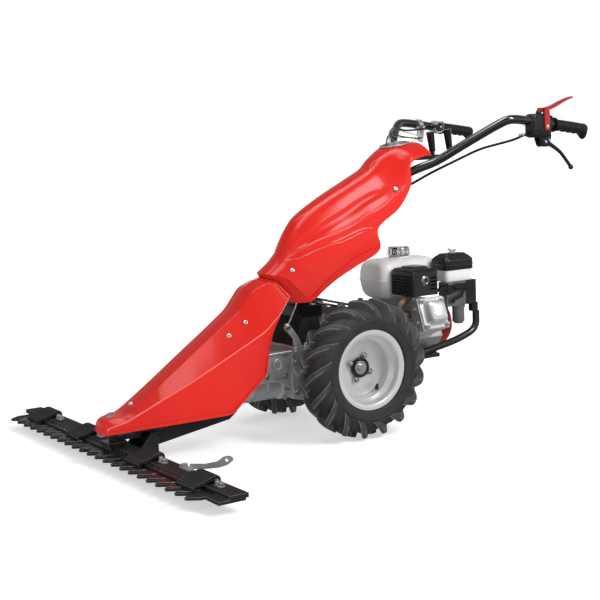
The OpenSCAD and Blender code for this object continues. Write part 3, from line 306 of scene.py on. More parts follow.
def make_finishes(c):
    """All finishes of the mower by their slot in the record, and a few for edges and small parts. Most edge finishes
    are lighter colours that paint a highlight along the edges, in part also wear.
    """
    moulding = (0.006, 0.006, 0.0065)
    return {
        "tyre": moulded("tyre_rubber", tuple(c.rubber), 0.55, 260.0, 0.25, 0.07),
        # Lugs in a lighter copy of the tyre rubber: painted light on the faces that meet the light
        "tyre_lug": moulded("lug_rubber_painted_light", shade(c.rubber, 1.7), 0.52, 260.0, 0.25, 0.10),
        # Much lighter rubber on the lug bevels: partly dusty, worn edges, partly a painted highlight
        "lug_edge_highlight_wear": moulded("lug_edge_highlight_and_wear_rubber", shade(c.rubber, 5.0), 0.50, 300.0, 0.20, 0.16),
        "rim_grey": gloss_paint("rim_paint", tuple(c.rim), 0.36, 0.02, 0.0, 0.04, metallic=0.3),
        "zinc": bright_metal("zinc_plate", tuple(c.zinc), 0.30),
        "shaft_steel": bright_metal("turned_steel", (0.42, 0.42, 0.42), 0.30, (1.0, 6.0, 6.0)),
        "cast_grey": casting("gearbox_casting", tuple(c.cast), 0.40, 0.55, 240.0, 0.35),
        "dark_casting": casting("dull_casting", shade(c.cast, 0.30), 0.42, 0.4, 320.0, 0.25),
        # Lighter casting on the bevelled edges: partly rubbed edges, partly a painted highlight
        "casting_rim_highlight_wear": casting("casting_rim_highlight_and_wear", shade(c.cast, 1.45), 0.32, 0.6, 260.0, 0.2),
        "engine_alloy": casting("engine_casting", tuple(c.alloy), 0.36, 0.65, 300.0, 0.28),
        "valve_alloy": casting("bright_casting", tuple(c.bright), 0.38, 0.75, 420.0, 0.04, shade(c.bright, 0.80)),
        "black_paint": gloss_paint("black_tube_paint", tuple(c.black), 0.25, 0.05, 0.0, 0.02, 0.7),
        "tube_gloss": gloss_paint("tube_gloss", tuple(c.black), 0.14, 0.02, 0.7, 0.02, 0.7),
        "black_iron": casting("black_casting", tuple(c.iron), 0.66, 0.0, 210.0, 0.30, (0.020, 0.0195, 0.019), 0.14),
        # Lighter iron on the bevelled edges of black castings: partly worn paint, partly a painted highlight
        "iron_rim_highlight_wear": casting("rubbed_and_lit_iron_rim", (0.085, 0.085, 0.087), 0.52, 0.2, 260.0, 0.2, None, 0.2),
        "blade_steel": bright_metal("blackened_blade", (0.040, 0.040, 0.042), 0.36, (8.0, 1.0, 1.0)),
        "blade_edge": bright_metal("ground_edge", (0.22, 0.22, 0.23), 0.30, (1.0, 8.0, 1.0)),
        "strip_steel": spangled("galvanised_strip", (0.40, 0.405, 0.41)),
        "red_plastic": gloss_paint("red_cover_gloss", tuple(c.red), 0.20, 0.05, 0.08, 0.03, 0.17),
        # Lighter, shinier red for the rounded creases of the front cover: a painted highlight along the creases
        "red_painted_highlight": gloss_paint("red_cover_painted_highlight", (0.90, 0.17, 0.14), 0.18, 0.02, 0.4, 0.0, 0.6),
        "lever_red": gloss_paint("lever_red_moulding", shade(c.red, 0.52), 0.26, 0.06, 0.1, 0.03, 0.3),
        "shroud_red": gloss_paint("dark_red_paint", shade(c.red, 0.36), 0.34, 0.08, 0.1, 0.05, 0.3),
        "tank_grey": tank_plastic("tank_satin", tuple(c.tank)),
        "cap_chrome": bright_metal("cap_chrome", (0.58, 0.58, 0.59), 0.12, smear=0.18),
        "black_plastic": moulded("black_moulding", moulding, 0.34, 700.0, 0.10, 0.03, 0.4),
        "white_plastic": tank_plastic("white_moulding", tuple(c.white)),
        "grip_rubber": moulded("grip_rubber", moulding, 0.42, 620.0, 0.16, 0.03),
        "exhaust_steel": burnt_pipe("burnt_pipe"),
        "cable_black": moulded("cable_sheath", moulding, 0.30, 900.0, 0.06, 0.03),
    }


# ---------------------------------------------------------------- mesh tools

def chain(bm, points, closed):
    """Row of vertices joined by edges."""
    row = [bm.verts.new(p) for p in points]
    for a, b in row_pairs(row, closed):
        bm.edges.new((a, b))
    return row


def row_pairs(row, closed):
    """Neighbours along a row."""
    return list(zip(row, row[1:] + row[:1] if closed else row[1:]))


def loft(bm, sections, closed=True, caps=True):
    """Skin over sections of as many points each, by extruding the first from one to the next."""
    row = first = chain(bm, sections[0], closed)
    for points in sections[1:]:
        edges = [bm.edges.get(pair) for pair in row_pairs(row, closed)]
        made = bmesh.ops.extrude_edge_only(bm, edges=edges)["geom"]
        fresh = {v for v in made if isinstance(v, bmesh.types.BMVert)}
        step = {}
        for v in fresh:
            for e in v.link_edges:
                other = e.other_vert(v)
                if other not in fresh:
                    step[other] = v
        row = [step[v] for v in row]
        for v, p in zip(row, points):
            v.co = p
    if closed and caps:
        for ring in (first, row):
            bmesh.ops.edgeloop_fill(bm, edges=[bm.edges.get(pair) for pair in row_pairs(ring, True)])


def rounded(points, reach, steps):
    """Line of points with its corners rounded over that reach."""
    line = [points[0]]
    for before, p, after in zip(points, points[1:], points[2:]):
        a = p + (before - p) * min(0.45, reach / max(1e-9, (before - p).length))
        b = p + (after - p) * min(0.45, reach / max(1e-9, (after - p).length))
        for k in range(steps + 1):
            t = k / steps
            line.append(a * (1 - t) ** 2 + p * (2 * t * (1 - t)) + b * t * t)
    return line + [points[-1]]


def spline(points, t):
    """Point at t of the smooth curve through the points, one unit from each to the next."""
    last = len(points) - 1
    i = min(max(int(t), 0), last - 1)
    a, b, c, d = (points[min(max(k, 0), last)] for k in range(i - 1, i + 3))
    t -= i
    return (b * 2 + (c - a) * t + (a * 2 - b * 5 + c * 4 - d) * t * t + (b * 3 - a - c * 3 + d) * t ** 3) / 2


def smooth_line(points, steps):
    """Smooth curve through the points, in so many steps from each to the next."""
    last = len(points) - 1
    return [spline(points, k / steps) for k in range(last * steps + 1)]


def rings(path, radius, sides, up=Z):
    """Round sections along a path."""
    last = len(path) - 1
    sections = []
    for i, p in enumerate(path):
        along = (path[min(i + 1, last)] - path[max(i - 1, 0)]).normalized()
        side = along.cross(up).normalized()
        top = side.cross(along)
        sections.append([p + (side * cos(2 * pi * k / sides) + top * sin(2 * pi * k / sides)) * radius
                         for k in range(sides)])
    return sections


def turn(bm, profile, centre, axis, steps):
    """Profile of (along, radius) millimetres, spun round an axis."""
    across = axis.orthogonal().normalized()
    row = chain(bm, [centre + (axis * a + across * r) * MM for a, r in profile], False)
    edges = [bm.edges.get(pair) for pair in row_pairs(row, False)]
    bmesh.ops.spin(bm, geom=row + edges, cent=centre, axis=axis, dvec=(0, 0, 0), angle=2 * pi, steps=steps,
                   use_merge=True, use_normal_flip=False, use_duplicate=False)


def rod(bm, a, b, radius, sides=24, radius_end=None):
    """Round bar from one point to another, its radii in millimetres."""
    along = b - a
    place = Matrix.Translation((a + b) / 2) @ along.to_track_quat("Z", "Y").to_matrix().to_4x4()
    end = radius if radius_end is None else radius_end
    bmesh.ops.create_cone(bm, cap_ends=True, cap_tris=False, segments=sides, radius1=radius * MM, radius2=end * MM,
                          depth=along.length, matrix=place)


def block(bm, low, high, turn_by=None):
    """Box between two opposite corners, turned about its middle if asked."""
    low, high = (Vector([pick(pair) for pair in zip(low, high)]) for pick in (min, max))
    middle = (low + high) / 2
    size = Matrix.Diagonal((*(high - low), 1.0))
    bmesh.ops.create_cube(bm, size=1.0, matrix=Matrix.Translation(middle) @ (turn_by or Matrix()) @ size)


def plate(bm, outline, depth):
    """Flat outline of points, extruded by a vector."""
    row = chain(bm, outline, True)
    face = bmesh.ops.edgeloop_fill(bm, edges=[bm.edges.get(pair) for pair in row_pairs(row, True)])["faces"]
    made = bmesh.ops.extrude_face_region(bm, geom=face, use_keep_orig=True)["geom"]
    bmesh.ops.translate(bm, verts=[v for v in made if isinstance(v, bmesh.types.BMVert)], vec=depth)


def hex_screw(bm, foot, axis, radius, height, washer=0.0):
    """Hexagon head with its washer, sizes in millimetres, standing on a point along an axis."""
    axis = axis.normalized()
    if washer:
        rod(bm, foot, foot + axis * (1.6 * MM), washer)
    rod(bm, foot + axis * MM, foot + axis * (height * MM), radius, 6)
    rod(bm, foot + axis * ((height - 0.4) * MM), foot + axis * ((height + 0.8) * MM), radius * 0.82, 24,
        radius * 0.70)


def dome_screw(bm, foot, axis, r):
    """Low round head with a socket, its radius in millimetres."""
    turn(bm, [(0, r), (r * 0.25, r * 0.98), (r * 0.45, r * 0.82), (r * 0.55, r * 0.55), (r * 0.55, r * 0.42),
              (r * 0.2, r * 0.40), (r * 0.2, 0.001)], foot, axis.normalized(), 20)


def round_rect(x0, y0, x1, y1, r, steps):
    """Corner-rounded rectangle as (x, y) pairs."""
    line = []
    for cx, cy, start in ((x1 - r, y1 - r, 0), (x0 + r, y1 - r, 90), (x0 + r, y0 + r, 180), (x1 - r, y0 + r, 270)):
        for k in range(steps + 1):
            a = radians(start + 90 * k / steps)
            line.append((cx + r * cos(a), cy + r * sin(a)))
    return line


def stack(bm, box, steps, levels):
    """Loft of level corner-rounded rectangles: their common box and (inset, rounding, height) of each."""
    x0, y0, x1, y1 = box
    loft(bm, [[at(x, y, z) for x, y in round_rect(x0 + i, y0 + i, x1 - i, y1 - i, r, steps)] for i, r, z in levels])


def cad_copy(bm, node):
    """Adds a CAD node's shape with its flat faces joined."""
    bm.from_mesh(frame["nodes"][node].data)
    bmesh.ops.remove_doubles(bm, verts=bm.verts, dist=2e-6)
    bmesh.ops.dissolve_limit(bm, angle_limit=radians(0.6), use_dissolve_boundaries=False,
                             verts=bm.verts, edges=bm.edges)


FINISHES = {}
SCREW_EDGE = 0.0003


def piece(bm, name, finish, nodes=(), body="chassis", bevel=0.0, segments=2, edge=None,
          crease=38.0, wall=0.0, keep_sides=False, flat=False):
    """Turns a bmesh into an object that rides on a body and stands for CAD nodes."""
    if not keep_sides:
        bmesh.ops.recalc_face_normals(bm, faces=bm.faces)
    limit = radians(crease)
    for face in bm.faces:
        face.smooth = True
    for e in bm.edges:
        e.smooth = e.calc_face_angle(0.0) < limit
    mesh = bpy.data.meshes.new(name)
    bm.to_mesh(mesh)
    bm.free()
    if not mesh.polygons:
        raise RuntimeError("No faces in " + name)
    mesh.materials.append(FINISHES[finish])
    made = bpy.data.objects.new(name, mesh)
    bpy.context.scene.collection.objects.link(made)
    if wall:
        sheet = made.modifiers.new("wall", "SOLIDIFY")
        sheet.thickness = wall
        sheet.offset = -1.0
    if bevel:
        soft = made.modifiers.new("edges", "BEVEL")
        soft.width = bevel
        soft.segments = segments
        soft.limit_method = "ANGLE"
        soft.angle_limit = limit
        soft.harden_normals = True
        # Bevel faces take the edge finish: for most pieces a lighter colour, a painted highlight along the edges that
        # partly stands for wear
        if edge:
            mesh.materials.append(FINISHES[edge])
            soft.material = 1
    if flat:
        made.modifiers.new("flat_faces", "WEIGHTED_NORMAL").keep_sharp = True
    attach(made, body)
    if nodes:
        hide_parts(*nodes)


def dress(node, bevel, finish=None, edge=None, segments=2, add=None):
    """A CAD node with soft edges, its finish and what is added to it."""
    bm = bmesh.new()
    cad_copy(bm, node)
    if add:
        add(bm)
    piece(bm, node + "_dressed", finish or SLOT[node], (node,), BODY[node], bevel=bevel, segments=segments, edge=edge)


# ---------------------------------------------------------------- wheels

HALF_TRACK = 214
TYRE_PROFILE = [(42.9, 101.7), (43.2, 112), (43.4, 117.5), (48.0, 119.0), (50.6, 122.0), (52.2, 128.0),
                (53.6, 136.0), (54.0, 140.5), (55.2, 141.6), (55.4, 143.4), (54.0, 144.6), (53.4, 150.0),
                (51.8, 157.0), (48.6, 164.0), (43.6, 171.0), (36.5, 177.0), (27.0, 181.5), (15.0, 184.2),
                (0.0, 185.0)]
TYRE_INSIDE = [(28, 176), (38, 168), (46, 145), (44, 128), (33, 112), (32, 101.7)]
LUG_TOP = [(1.5, 203), (14, 202.6), (26, 201.4), (37, 198.4), (46.5, 193), (52.5, 185), (55.6, 175),
           (56.8, 166), (56.4, 158), (54.6, 151.5)]
LUG_FOOT = [(1.5, 181), (13, 181), (24, 179.5), (33, 176), (40, 171), (45, 165.5), (48.4, 160),
            (50.4, 156), (51.6, 152.5), (52.0, 150)]
LUG_SLOPE = 0.74
LUG_COUNT = 17
LUG_RUN = 95
LUG_FOOT_OUT = 7
TREAD_R = 200


def lug_sections(width):
    """Sections of one tread lug at the foot of the wheel, from the middle down to the side wall."""
    run = 0.0
    sections = []
    for i, ((tx, tr), (fx, fr)) in enumerate(zip(LUG_TOP, LUG_FOOT)):
        if i:
            run += Vector((tx - LUG_TOP[i - 1][0], tr - LUG_TOP[i - 1][1])).length
        drift = LUG_SLOPE * run
        half = width / 2 * (1.0 + 0.2 * run / LUG_RUN)
        ring = ((fx, fr, drift - half - LUG_FOOT_OUT), (tx, tr, drift - half + 1), (tx, tr, drift),
                (tx, tr, drift + half - 1), (fx, fr, drift + half + LUG_FOOT_OUT))
        sections.append([Vector((x, -r * sin(t / TREAD_R), -r * cos(t / TREAD_R))) for x, r, t in ring])
    return sections


def build_wheels(sizes):
    rim_line = [(46, 116), (46, 109), (44.5, 103), (42, 99.5), (30, 98.2), (24, 97), (17, 90), (13, 85.4), (4, 84.6),
                (-12, 84.4), (-16.6, 82.5), (-17.2, 79), (-16.9, 77.6), (-17.6, 76), (-18, 70), (-18, 20.1),
                (-21, 20.1), (-21, 78), (-24, 84.6), (-35, 98.6), (-46, 98.6), (-46, 116), (-43, 116), (-43, 101.6),
                (-34, 101.6), (-24, 87.6), (15, 87.6), (26, 101.6), (43, 101.6), (43, 116), (46, 116)]
    for side, sign in (("left", 1), ("right", -1)):
        body = side + "_wheel"
        centre = at(sign * HALF_TRACK, 0, AXLE_Z)
        outward = X * sign
        bm = bmesh.new()
        outside = smooth_line([Vector((a, r, 0)) for a, r in TYRE_PROFILE], 2)
        profile = [(p.x, p.y) for p in outside]
        profile += [(-a, r) for a, r in reversed(profile)][1:]
        profile += [(-a, r) for a, r in reversed(TYRE_INSIDE)] + TYRE_INSIDE + profile[:1]
        turn(bm, profile, centre, outward, 108)
        piece(bm, side + "_tyre_carcass", "tyre", (side + "_tyre",), body, bevel=0.0012, crease=40)
        bm = bmesh.new()
        one = lug_sections(sizes.lug_w / MM)
        for k in range(LUG_COUNT):
            for flip in (1, -1):
                spin = Matrix.Rotation(2 * pi * (k + (0.5 if flip < 0 else 0.0)) / LUG_COUNT, 3, "X")
                loft(bm, [[centre + spin @ Vector((p.x * flip * sign, p.y, p.z)) * MM for p in ring]
                          for ring in one])
        # Lugs in the lighter rubber, their bevels in the edge rubber: painted light, with some wear on the edges
        piece(bm, side + "_tyre_lugs", "tyre_lug", (side + "_tyre",), body, bevel=0.003, segments=3,
              edge="lug_edge_highlight_wear", crease=40)
        bm = bmesh.new()
        corners = rounded([Vector((a, r, 0)) for a, r in rim_line], 1.6, 2)
        turn(bm, [(p.x, p.y) for p in corners], centre, outward, 96)
        piece(bm, side + "_rim_turned", "rim_grey", (side + "_rim",), body, crease=60)
        bm = bmesh.new()
        foot = centre + Vector((sign * -2.0, 50.0, -66.0)) * MM
        stem = Vector((sign * 0.75, -0.45, 0.6)).normalized()
        rod(bm, foot, foot + stem * 13 * MM, 6.0, 20, 4.6)
        rod(bm, foot + stem * 12 * MM, foot + stem * 25 * MM, 4.2, 16, 3.8)
        piece(bm, side + "_valve_stem", "black_plastic", (), body, bevel=0.0008)
        bm = bmesh.new()
        turn(bm, [(-19, 21), (-6, 21), (-4, 23), (-4, 27), (-8, 29), (-17.8, 29), (-19, 21)], centre, outward, 48)
        piece(bm, side + "_hub_seal", "black_plastic", (), body, bevel=0.0006)
        dress(side + "_hub", sizes.soft_edge, "zinc")
        dress(side + "_wheel_nuts", sizes.soft_edge * 0.7, "cap_chrome")


# ---------------------------------------------------------------- transmission and frame

CASE_SPLIT = 262.0
CASE_WALL = 72
FLANGE_X = 78
FLANGE_SCREWS = (-138, -104, -64, -20, 24, 64, 98)
CASE_BOSSES = ((-140, 132), (-140, 222), (88, 236), (86, 180), (40, 118), (-60, 112))
AXLE_SCREW_R = 52


def gearbox_part(node, upper):
    """Half of the gearbox above or below the flange of its case."""
    bm = bmesh.new()
    cad_copy(bm, node)
    bmesh.ops.bisect_plane(bm, geom=bm.verts[:] + bm.edges[:] + bm.faces[:], plane_co=at(0, 0, CASE_SPLIT),
                           plane_no=Z, clear_outer=not upper, clear_inner=upper)
    return bm


def build_gearbox(sizes):
    for node, sign in (("gearbox_left", 1), ("gearbox_right", -1)):
        bm = gearbox_part(node, False)
        wall = sign * CASE_WALL
        block(bm, at(0, -146, CASE_SPLIT - 6), at(sign * 79, 105, CASE_SPLIT + 4))
        for y in FLANGE_SCREWS:
            rod(bm, at(sign * FLANGE_X, y, CASE_SPLIT - 12), at(sign * FLANGE_X, y, CASE_SPLIT + 4.5), 8, 20)
        for y, z in CASE_BOSSES:
            rod(bm, at(wall - sign, y, z), at(wall + sign * 4, y, z), 12, 24)
        for y in (-120, -98, 36, 58):
            block(bm, at(wall, y, 150), at(wall + sign * 5, y + 6, CASE_SPLIT - 6))
        turn(bm, [(0, 24), (3, 24), (4, 22), (4, 14), (2, 13), (2, 0.01)], at(wall, -122, 200), X * sign, 32)
        piece(bm, node + "_case", "cast_grey", (node,), bevel=sizes.soft_edge, edge="casting_rim_highlight_wear")
        bm = gearbox_part(node, True)
        for y in (-84, -44, 4, 52):
            block(bm, at(wall, y, 276), at(wall + sign * 3, y + 5, 336))
        piece(bm, node + "_cover", "black_iron", (node,), bevel=sizes.soft_edge)


def build_case_screws():
    bm = bmesh.new()
    for sign in (1, -1):
        for y in FLANGE_SCREWS:
            hex_screw(bm, at(sign * FLANGE_X, y, CASE_SPLIT + 4.5), Z, 6.5, 7)
        for y, z in CASE_BOSSES:
            hex_screw(bm, at(sign * (CASE_WALL + 4), y, z), X * sign, 7, 7, 9.5)
        for a in range(0, 360, 45):
            y, z = AXLE_SCREW_R * cos(radians(a)), AXLE_Z + AXLE_SCREW_R * sin(radians(a))
            hex_screw(bm, at(sign * 80, y, z), X * sign, 6, 6)
        for y, z in ((-226, 240), (-168, 246), (-226, 184), (-168, 182)):
            hex_screw(bm, at(sign * (66 + 0.14 * (y + 150)), y, z), X * sign, 5.5, 6, 8)
        for x, z in ((30, 112), (52, 132), (58, 160)):
            hex_screw(bm, at(sign * x, -150, z), -Y, 6.5, 8, 9)
    hex_screw(bm, at(77, -163, 327), X, 7, 8, 9.5)
    loft(bm, rings([at(68, -118, 404), at(70, -130, 380), at(75, -152, 346), at(76, -162, 330)], 2.4 * MM, 14, X))
    turn(bm, [(-5, 4), (-4, 7.5), (4, 7.5), (5, 4)], at(75, -163, 327), X, 24)
    piece(bm, "case_screws_and_rod", "zinc", bevel=SCREW_EDGE)


def build_drive_casting(sizes):
    bm = bmesh.new()
    sections = []
    for y, w, z0, z1 in ((-146, 67, 168, 253), (-196, 60, 166, 250), (-250, 52, 164, 246)):
        sections.append([at(x, y, z) for x, z in round_rect(-w, z0, w, z1, 7, 4)])
    loft(bm, sections)
    loft(bm, [[at(x, y, z) for x, z in round_rect(-w, 246 + r, w, 253 + r, 2, 2)]
              for y, w, r in ((-147, 73, 3), (-252, 58, -3))])
    for sign in (1, -1):
        turn(bm, [(-2, 19), (3, 18.5), (4.5, 16.5), (4.5, 12), (2, 11), (1.5, 0.01)], at(sign * 60.5, -192, 216),
             X * sign, 32)
        plate(bm, [at(sign * 62, -146, 176), at(sign * 62, -206, 172), at(sign * 62, -146, 140)], X * sign * 5 * MM)
    turn(bm, [(-150, 44), (-164, 43), (-166, 38), (-206, 36.5), (-207, 39.5), (-213, 39.5), (-214, 35),
              (-258, 33.5), (-259, 36), (-264, 36), (-265, 33), (-299, 32), (-299, 20), (-150, 20), (-150, 44)],
         at(0, 0, 148), Y, 48)
    block(bm, at(-4, -296, 106), at(4, -160, 120))
    plate(bm, [at(66, y, z) for y, z in ((-172, 322), (-167, 336), (-155, 335), (-124, 292), (-112, CASE_SPLIT + 3),
                                         (-142, CASE_SPLIT + 3), (-141, 288))], X * 8 * MM)
    piece(bm, "drive_casting", "cast_grey", bevel=sizes.soft_edge, edge="casting_rim_highlight_wear")


def build_shift_arm():
    bm = bmesh.new()
    rod(bm, at(20, -92, 404), at(70, -119, 404), 5, 16)
    block(bm, at(56, -128, 352), at(64, -104, 398))
    for line in (((30, -80, 392), (52, -50, 384), (66, 0, 372), (64, 60, 356), (56, 84, 346)),
                 ((30, -70, 398), (56, -34, 392), (74, 20, 378), (72, 76, 362), (60, 92, 346))):
        loft(bm, rings(smooth_line([at(*q) for q in line], 6), 3.6 * MM, 12))
    piece(bm, "shift_arm_and_hoses", "black_paint", bevel=0.0006)


def build_transmission(sizes):
    build_gearbox(sizes)
    build_case_screws()
    build_drive_casting(sizes)
    build_shift_arm()
    dress("gearbox_lid", sizes.soft_edge * 2, finish="black_paint")
    dress("axle_tubes", sizes.soft_edge, edge="casting_rim_highlight_wear")
    dress("pto_tube", sizes.soft_edge, edge="casting_rim_highlight_wear")
    dress("pto_shaft", sizes.sharp_edge)
    for node in ("front_frame", "drive_box", "bar_bracket", "hood_brackets"):
        dress(node, sizes.soft_edge, finish="black_iron", edge="iron_rim_highlight_wear")
    for node in ("handle_column", "handle_clamp"):
        dress(node, sizes.soft_edge)


# ---------------------------------------------------------------- cutter bar

KNIFE_PITCH = 50.8


def build_cutter(sizes):
    def rivets(bm):
        for k in range(-10, 11):
            for d in (-11, 11):
                dome_screw(bm, at((k - 0.5) * KNIFE_PITCH + d, -707, 45.3), Z, 4.2)

    for node in ("guard_bar", "guard_fingers", "hold_downs"):
        dress(node, sizes.soft_edge, finish="black_iron", edge="iron_rim_highlight_wear")
    dress("knife_sections", sizes.sharp_edge, edge="blade_edge")
    dress("knife_back", sizes.sharp_edge, add=rivets)
    for node in ("knife_head", "rocker"):
        dress(node, sizes.soft_edge, edge="iron_rim_highlight_wear")
    dress("bar_bolts", sizes.sharp_edge)
    dress("swath_arm", sizes.sharp_edge)


# ---------------------------------------------------------------- covers

# Half sections of the front cover from nose to rear: middle, strip edge, side crease, lower edge
FRONT_NET = (
    ((0, -735, 88), (22, -734, 88), (38, -728, 89), (42, -726.5, 90)),
    ((0, -738, 116), (22, -737, 114), (39, -729, 106), (42, -727, 91)),
    ((0, -726, 129), (27, -723, 129.44), (48, -708, 115), (51, -706, 92)),
    ((0, -692, 134), (32, -690, 134.29), (55, -680, 121), (58, -676, 94)),
    ((0, -668, 137), (34, -666, 136), (60, -648, 136), (64, -634, 96)),
    ((0, -562, 208), (34, -560, 207), (72, -572, 172), (76, -556, 98)),
    ((0, -464, 276), (35, -464, 274), (85, -489, 210), (88, -470, 101)),
    ((0, -384, 331), (37, -382, 329), (93, -400, 254), (97, -404, 103)),
    ((0, -307, 386), (40, -305, 383), (100, -330, 289), (103, -373, 105)),
    ((0, -260, 445), (46, -254, 441), (105, -254, 327), (106, -258, 203)),
    ((0, -226, 464), (52, -206, 458), (103, -200, 372), (106, -248, 293)),
    ((0, -206, 466), (56, -184, 455), (92, -160, 416), (101, -207, 366)),
)
# Half sections of the upper cover from its front lip to the rear collar
UPPER_NET = (
    ((0, -204, 480), (42, -190, 477), (70, -151, 462), (84, -112, 420), (90, -89, 392)),
    ((0, -160, 512), (42, -150, 506), (72, -120, 485), (89, -82, 445), (94, -66, 404)),
    ((0, -134, 543), (40, -126, 534), (70, -104, 510), (92, -62, 462), (96, -48, 418)),
    ((0, -107, 594), (36, -98, 582), (68, -70, 545), (95, -20, 495), (98, 4, 450)),
    ((0, -67, 638), (36, -58, 627), (70, -25, 585), (98, 35, 528), (100, 72, 482)),
    ((0, 19, 687), (36, 26, 677), (70, 50, 630), (99, 105, 562), (101, 160, 524)),
    ((0, 104, 727), (36, 108, 718), (68, 124, 675), (97, 148, 618), (99, 158, 590)),
    ((0, 174, 763), (36, 178, 754), (66, 192, 716), (94, 215, 670), (97, 240, 645)),
    ((0, 214, 798), (36, 218, 789), (66, 234, 752), (92, 262, 725), (95, 288, 712)),
    ((0, 268, 829), (38, 270, 824), (68, 276, 806), (92, 284, 786), (95, 290, 775)),
    ((0, 330, 838), (40, 328, 836), (70, 330, 822), (90, 336, 806), (93, 342, 796)),
    ((0, 372, 838), (44, 360, 836), (72, 362, 824), (86, 370, 808), (88, 378, 797)),
)
# Lines on the upper cover as (section, place across it)
BULGE_FOOT = ((1.6, 0.4), (2.2, 1.18), (3.0, 1.5), (3.9, 1.79), (4.5, 1.87), (5.1, 1.96), (6.1, 2.08), (7.3, 2.39))
SIDE_CREASE = ((2.0, 1.27), (2.7, 1.74), (3.45, 2.03), (4.1, 2.23), (4.7, 2.34), (5.5, 2.5), (6.4, 2.79),
               (7.4, 3.05), (8.1, 3.6))
SKIRT_TOP = ((1.0, 0.9), (2.1, 1.85), (3.3, 2.33), (4.2, 2.6), (5.2, 2.8), (5.9, 3.38))
SKIRT_FLANGE = ((0.0, 3.62), (2.6, 3.53), (3.8, 3.47), (4.6, 3.48), (5.1, 3.66), (5.6, 3.75))
COLUMN_STEPS = 30
ROW_STEPS = 14
# Flange along the edges of the front cover: its slope, its height and how many lines of the grid it takes
FLANGE_SLOPE = 4.5
FLANGE_LIFT = 3.6
FLANGE_LINES = 4
# Columns of the front cover whose faces take the painted highlight of the creases
CREASE_COLUMNS = (12, 13)
# Opening of the upper cover with the bead of its ring as (out, up)
OPENING_Y = 300
OPENING_R = 43.5
OPENING_ABOVE = 790
BEAD_R = 43.0
BEAD_STEPS = 48
BEAD = ((4.5, 0.5), (4.0, 3.2), (1.5, 4.6), (-1.5, 3.4), (-2.4, 0), (-2.4, -9), (-0.6, -9), (-0.4, -1))
# Screws on both sides of the covers as (place, axis)
COVER_SCREWS = (((68.9, -298.6, 353.9), (0.752, -0.334, 0.569)), ((62.1, -351.1, 320.7), (0.708, -0.424, 0.565)),
                ((66, -132.3, 486.7), (0.834, -0.343, 0.432)), ((89.5, 233.8, 702.2), (0.88, -0.3, 0.367)))


def whole(half):
    """Section of a cover from side to side."""
    return [Vector((-q[0], q[1], q[2])) for q in half[:0:-1]] + [Vector(q) for q in half]


UPPER_ROWS = [whole(half) for half in UPPER_NET]
UPPER_HALF = len(UPPER_NET[0]) - 1


def upper_section(u):
    """Section of the upper cover at u, counted in rows of its net."""
    return [spline(column, u) for column in zip(*UPPER_ROWS)]


def lead(line, u):
    """Place of a line at section u, and how far u is inside the line."""
    if u <= line[0][0] or u >= line[-1][0]:
        return 0.0, 0.0
    last = len(line) - 1
    i = max(k for k in range(last) if line[k][0] < u)
    (u0, t0), (u1, t1) = line[i], line[i + 1]
    before, after = line[max(i - 1, 0)], line[min(i + 2, last)]
    slope0 = (t1 - before[1]) / (u1 - before[0]) * (u1 - u0)
    slope1 = (after[1] - t0) / (after[0] - u0) * (u1 - u0)
    s = (u - u0) / (u1 - u0)
    bend, twist = 3 * (t1 - t0) - 2 * slope0 - slope1, 2 * (t0 - t1) + slope0 + slope1
    return t0 + slope0 * s + bend * s * s + twist * s ** 3, step_up(min(u - line[0][0], line[-1][0] - u) / 0.9)


def step_up(x):
    """Smooth step from 0 to 1."""
    x = min(1.0, max(0.0, x))
    return x * x * (3 - 2 * x)


def bell(x):
    """Smooth bump that ends at -1 and 1."""
    return max(0.0, 1 - x * x) ** 2


def relief(u, t):
    """Height in millimetres of the upper cover's lines over its main form."""
    place, share = lead(BULGE_FOOT, u)
    height = share * (2.0 - 2.0 * step_up((t - place + 0.16) / 0.14) - 4.5 * bell((t - place) / 0.30))
    for line, high, start, fade in ((SIDE_CREASE, 4.0, 0.04, 0.55), (SKIRT_TOP, 5.0, 0.06, 0.9)):
        place, share = lead(line, u)
        off = t - place
        wave = step_up((off + 0.10) / 0.14) - step_up((off - start) / fade)
        height += share * (high * wave + 2.2 * bell(off / 0.11))
    place, share = lead(SKIRT_FLANGE, u)
    return height - 4.0 * share * step_up((t - place + 0.05) / 0.08)


def grid_normals(grid):
    """Outward direction at each point of a grid."""
    rows, columns = len(grid), len(grid[0])
    return [[(grid[i][min(j + 1, columns - 1)] - grid[i][max(j - 1, 0)]).cross(
        grid[min(i + 1, rows - 1)][j] - grid[max(i - 1, 0)][j]).normalized()
        for j in range(columns)] for i in range(rows)]


def sheet_of(bm, grid, up_face):
    """Open skin over a grid of points in millimetres, with its faces turned outwards."""
    loft(bm, [[at(*p) for p in row] for row in grid], closed=False)
    bmesh.ops.recalc_face_normals(bm, faces=bm.faces)
    bm.faces.ensure_lookup_table()
    best = min(bm.faces, key=lambda f: (f.calc_center_median() - up_face).length)
    if best.normal.z < 0:
        bmesh.ops.reverse_faces(bm, faces=bm.faces)


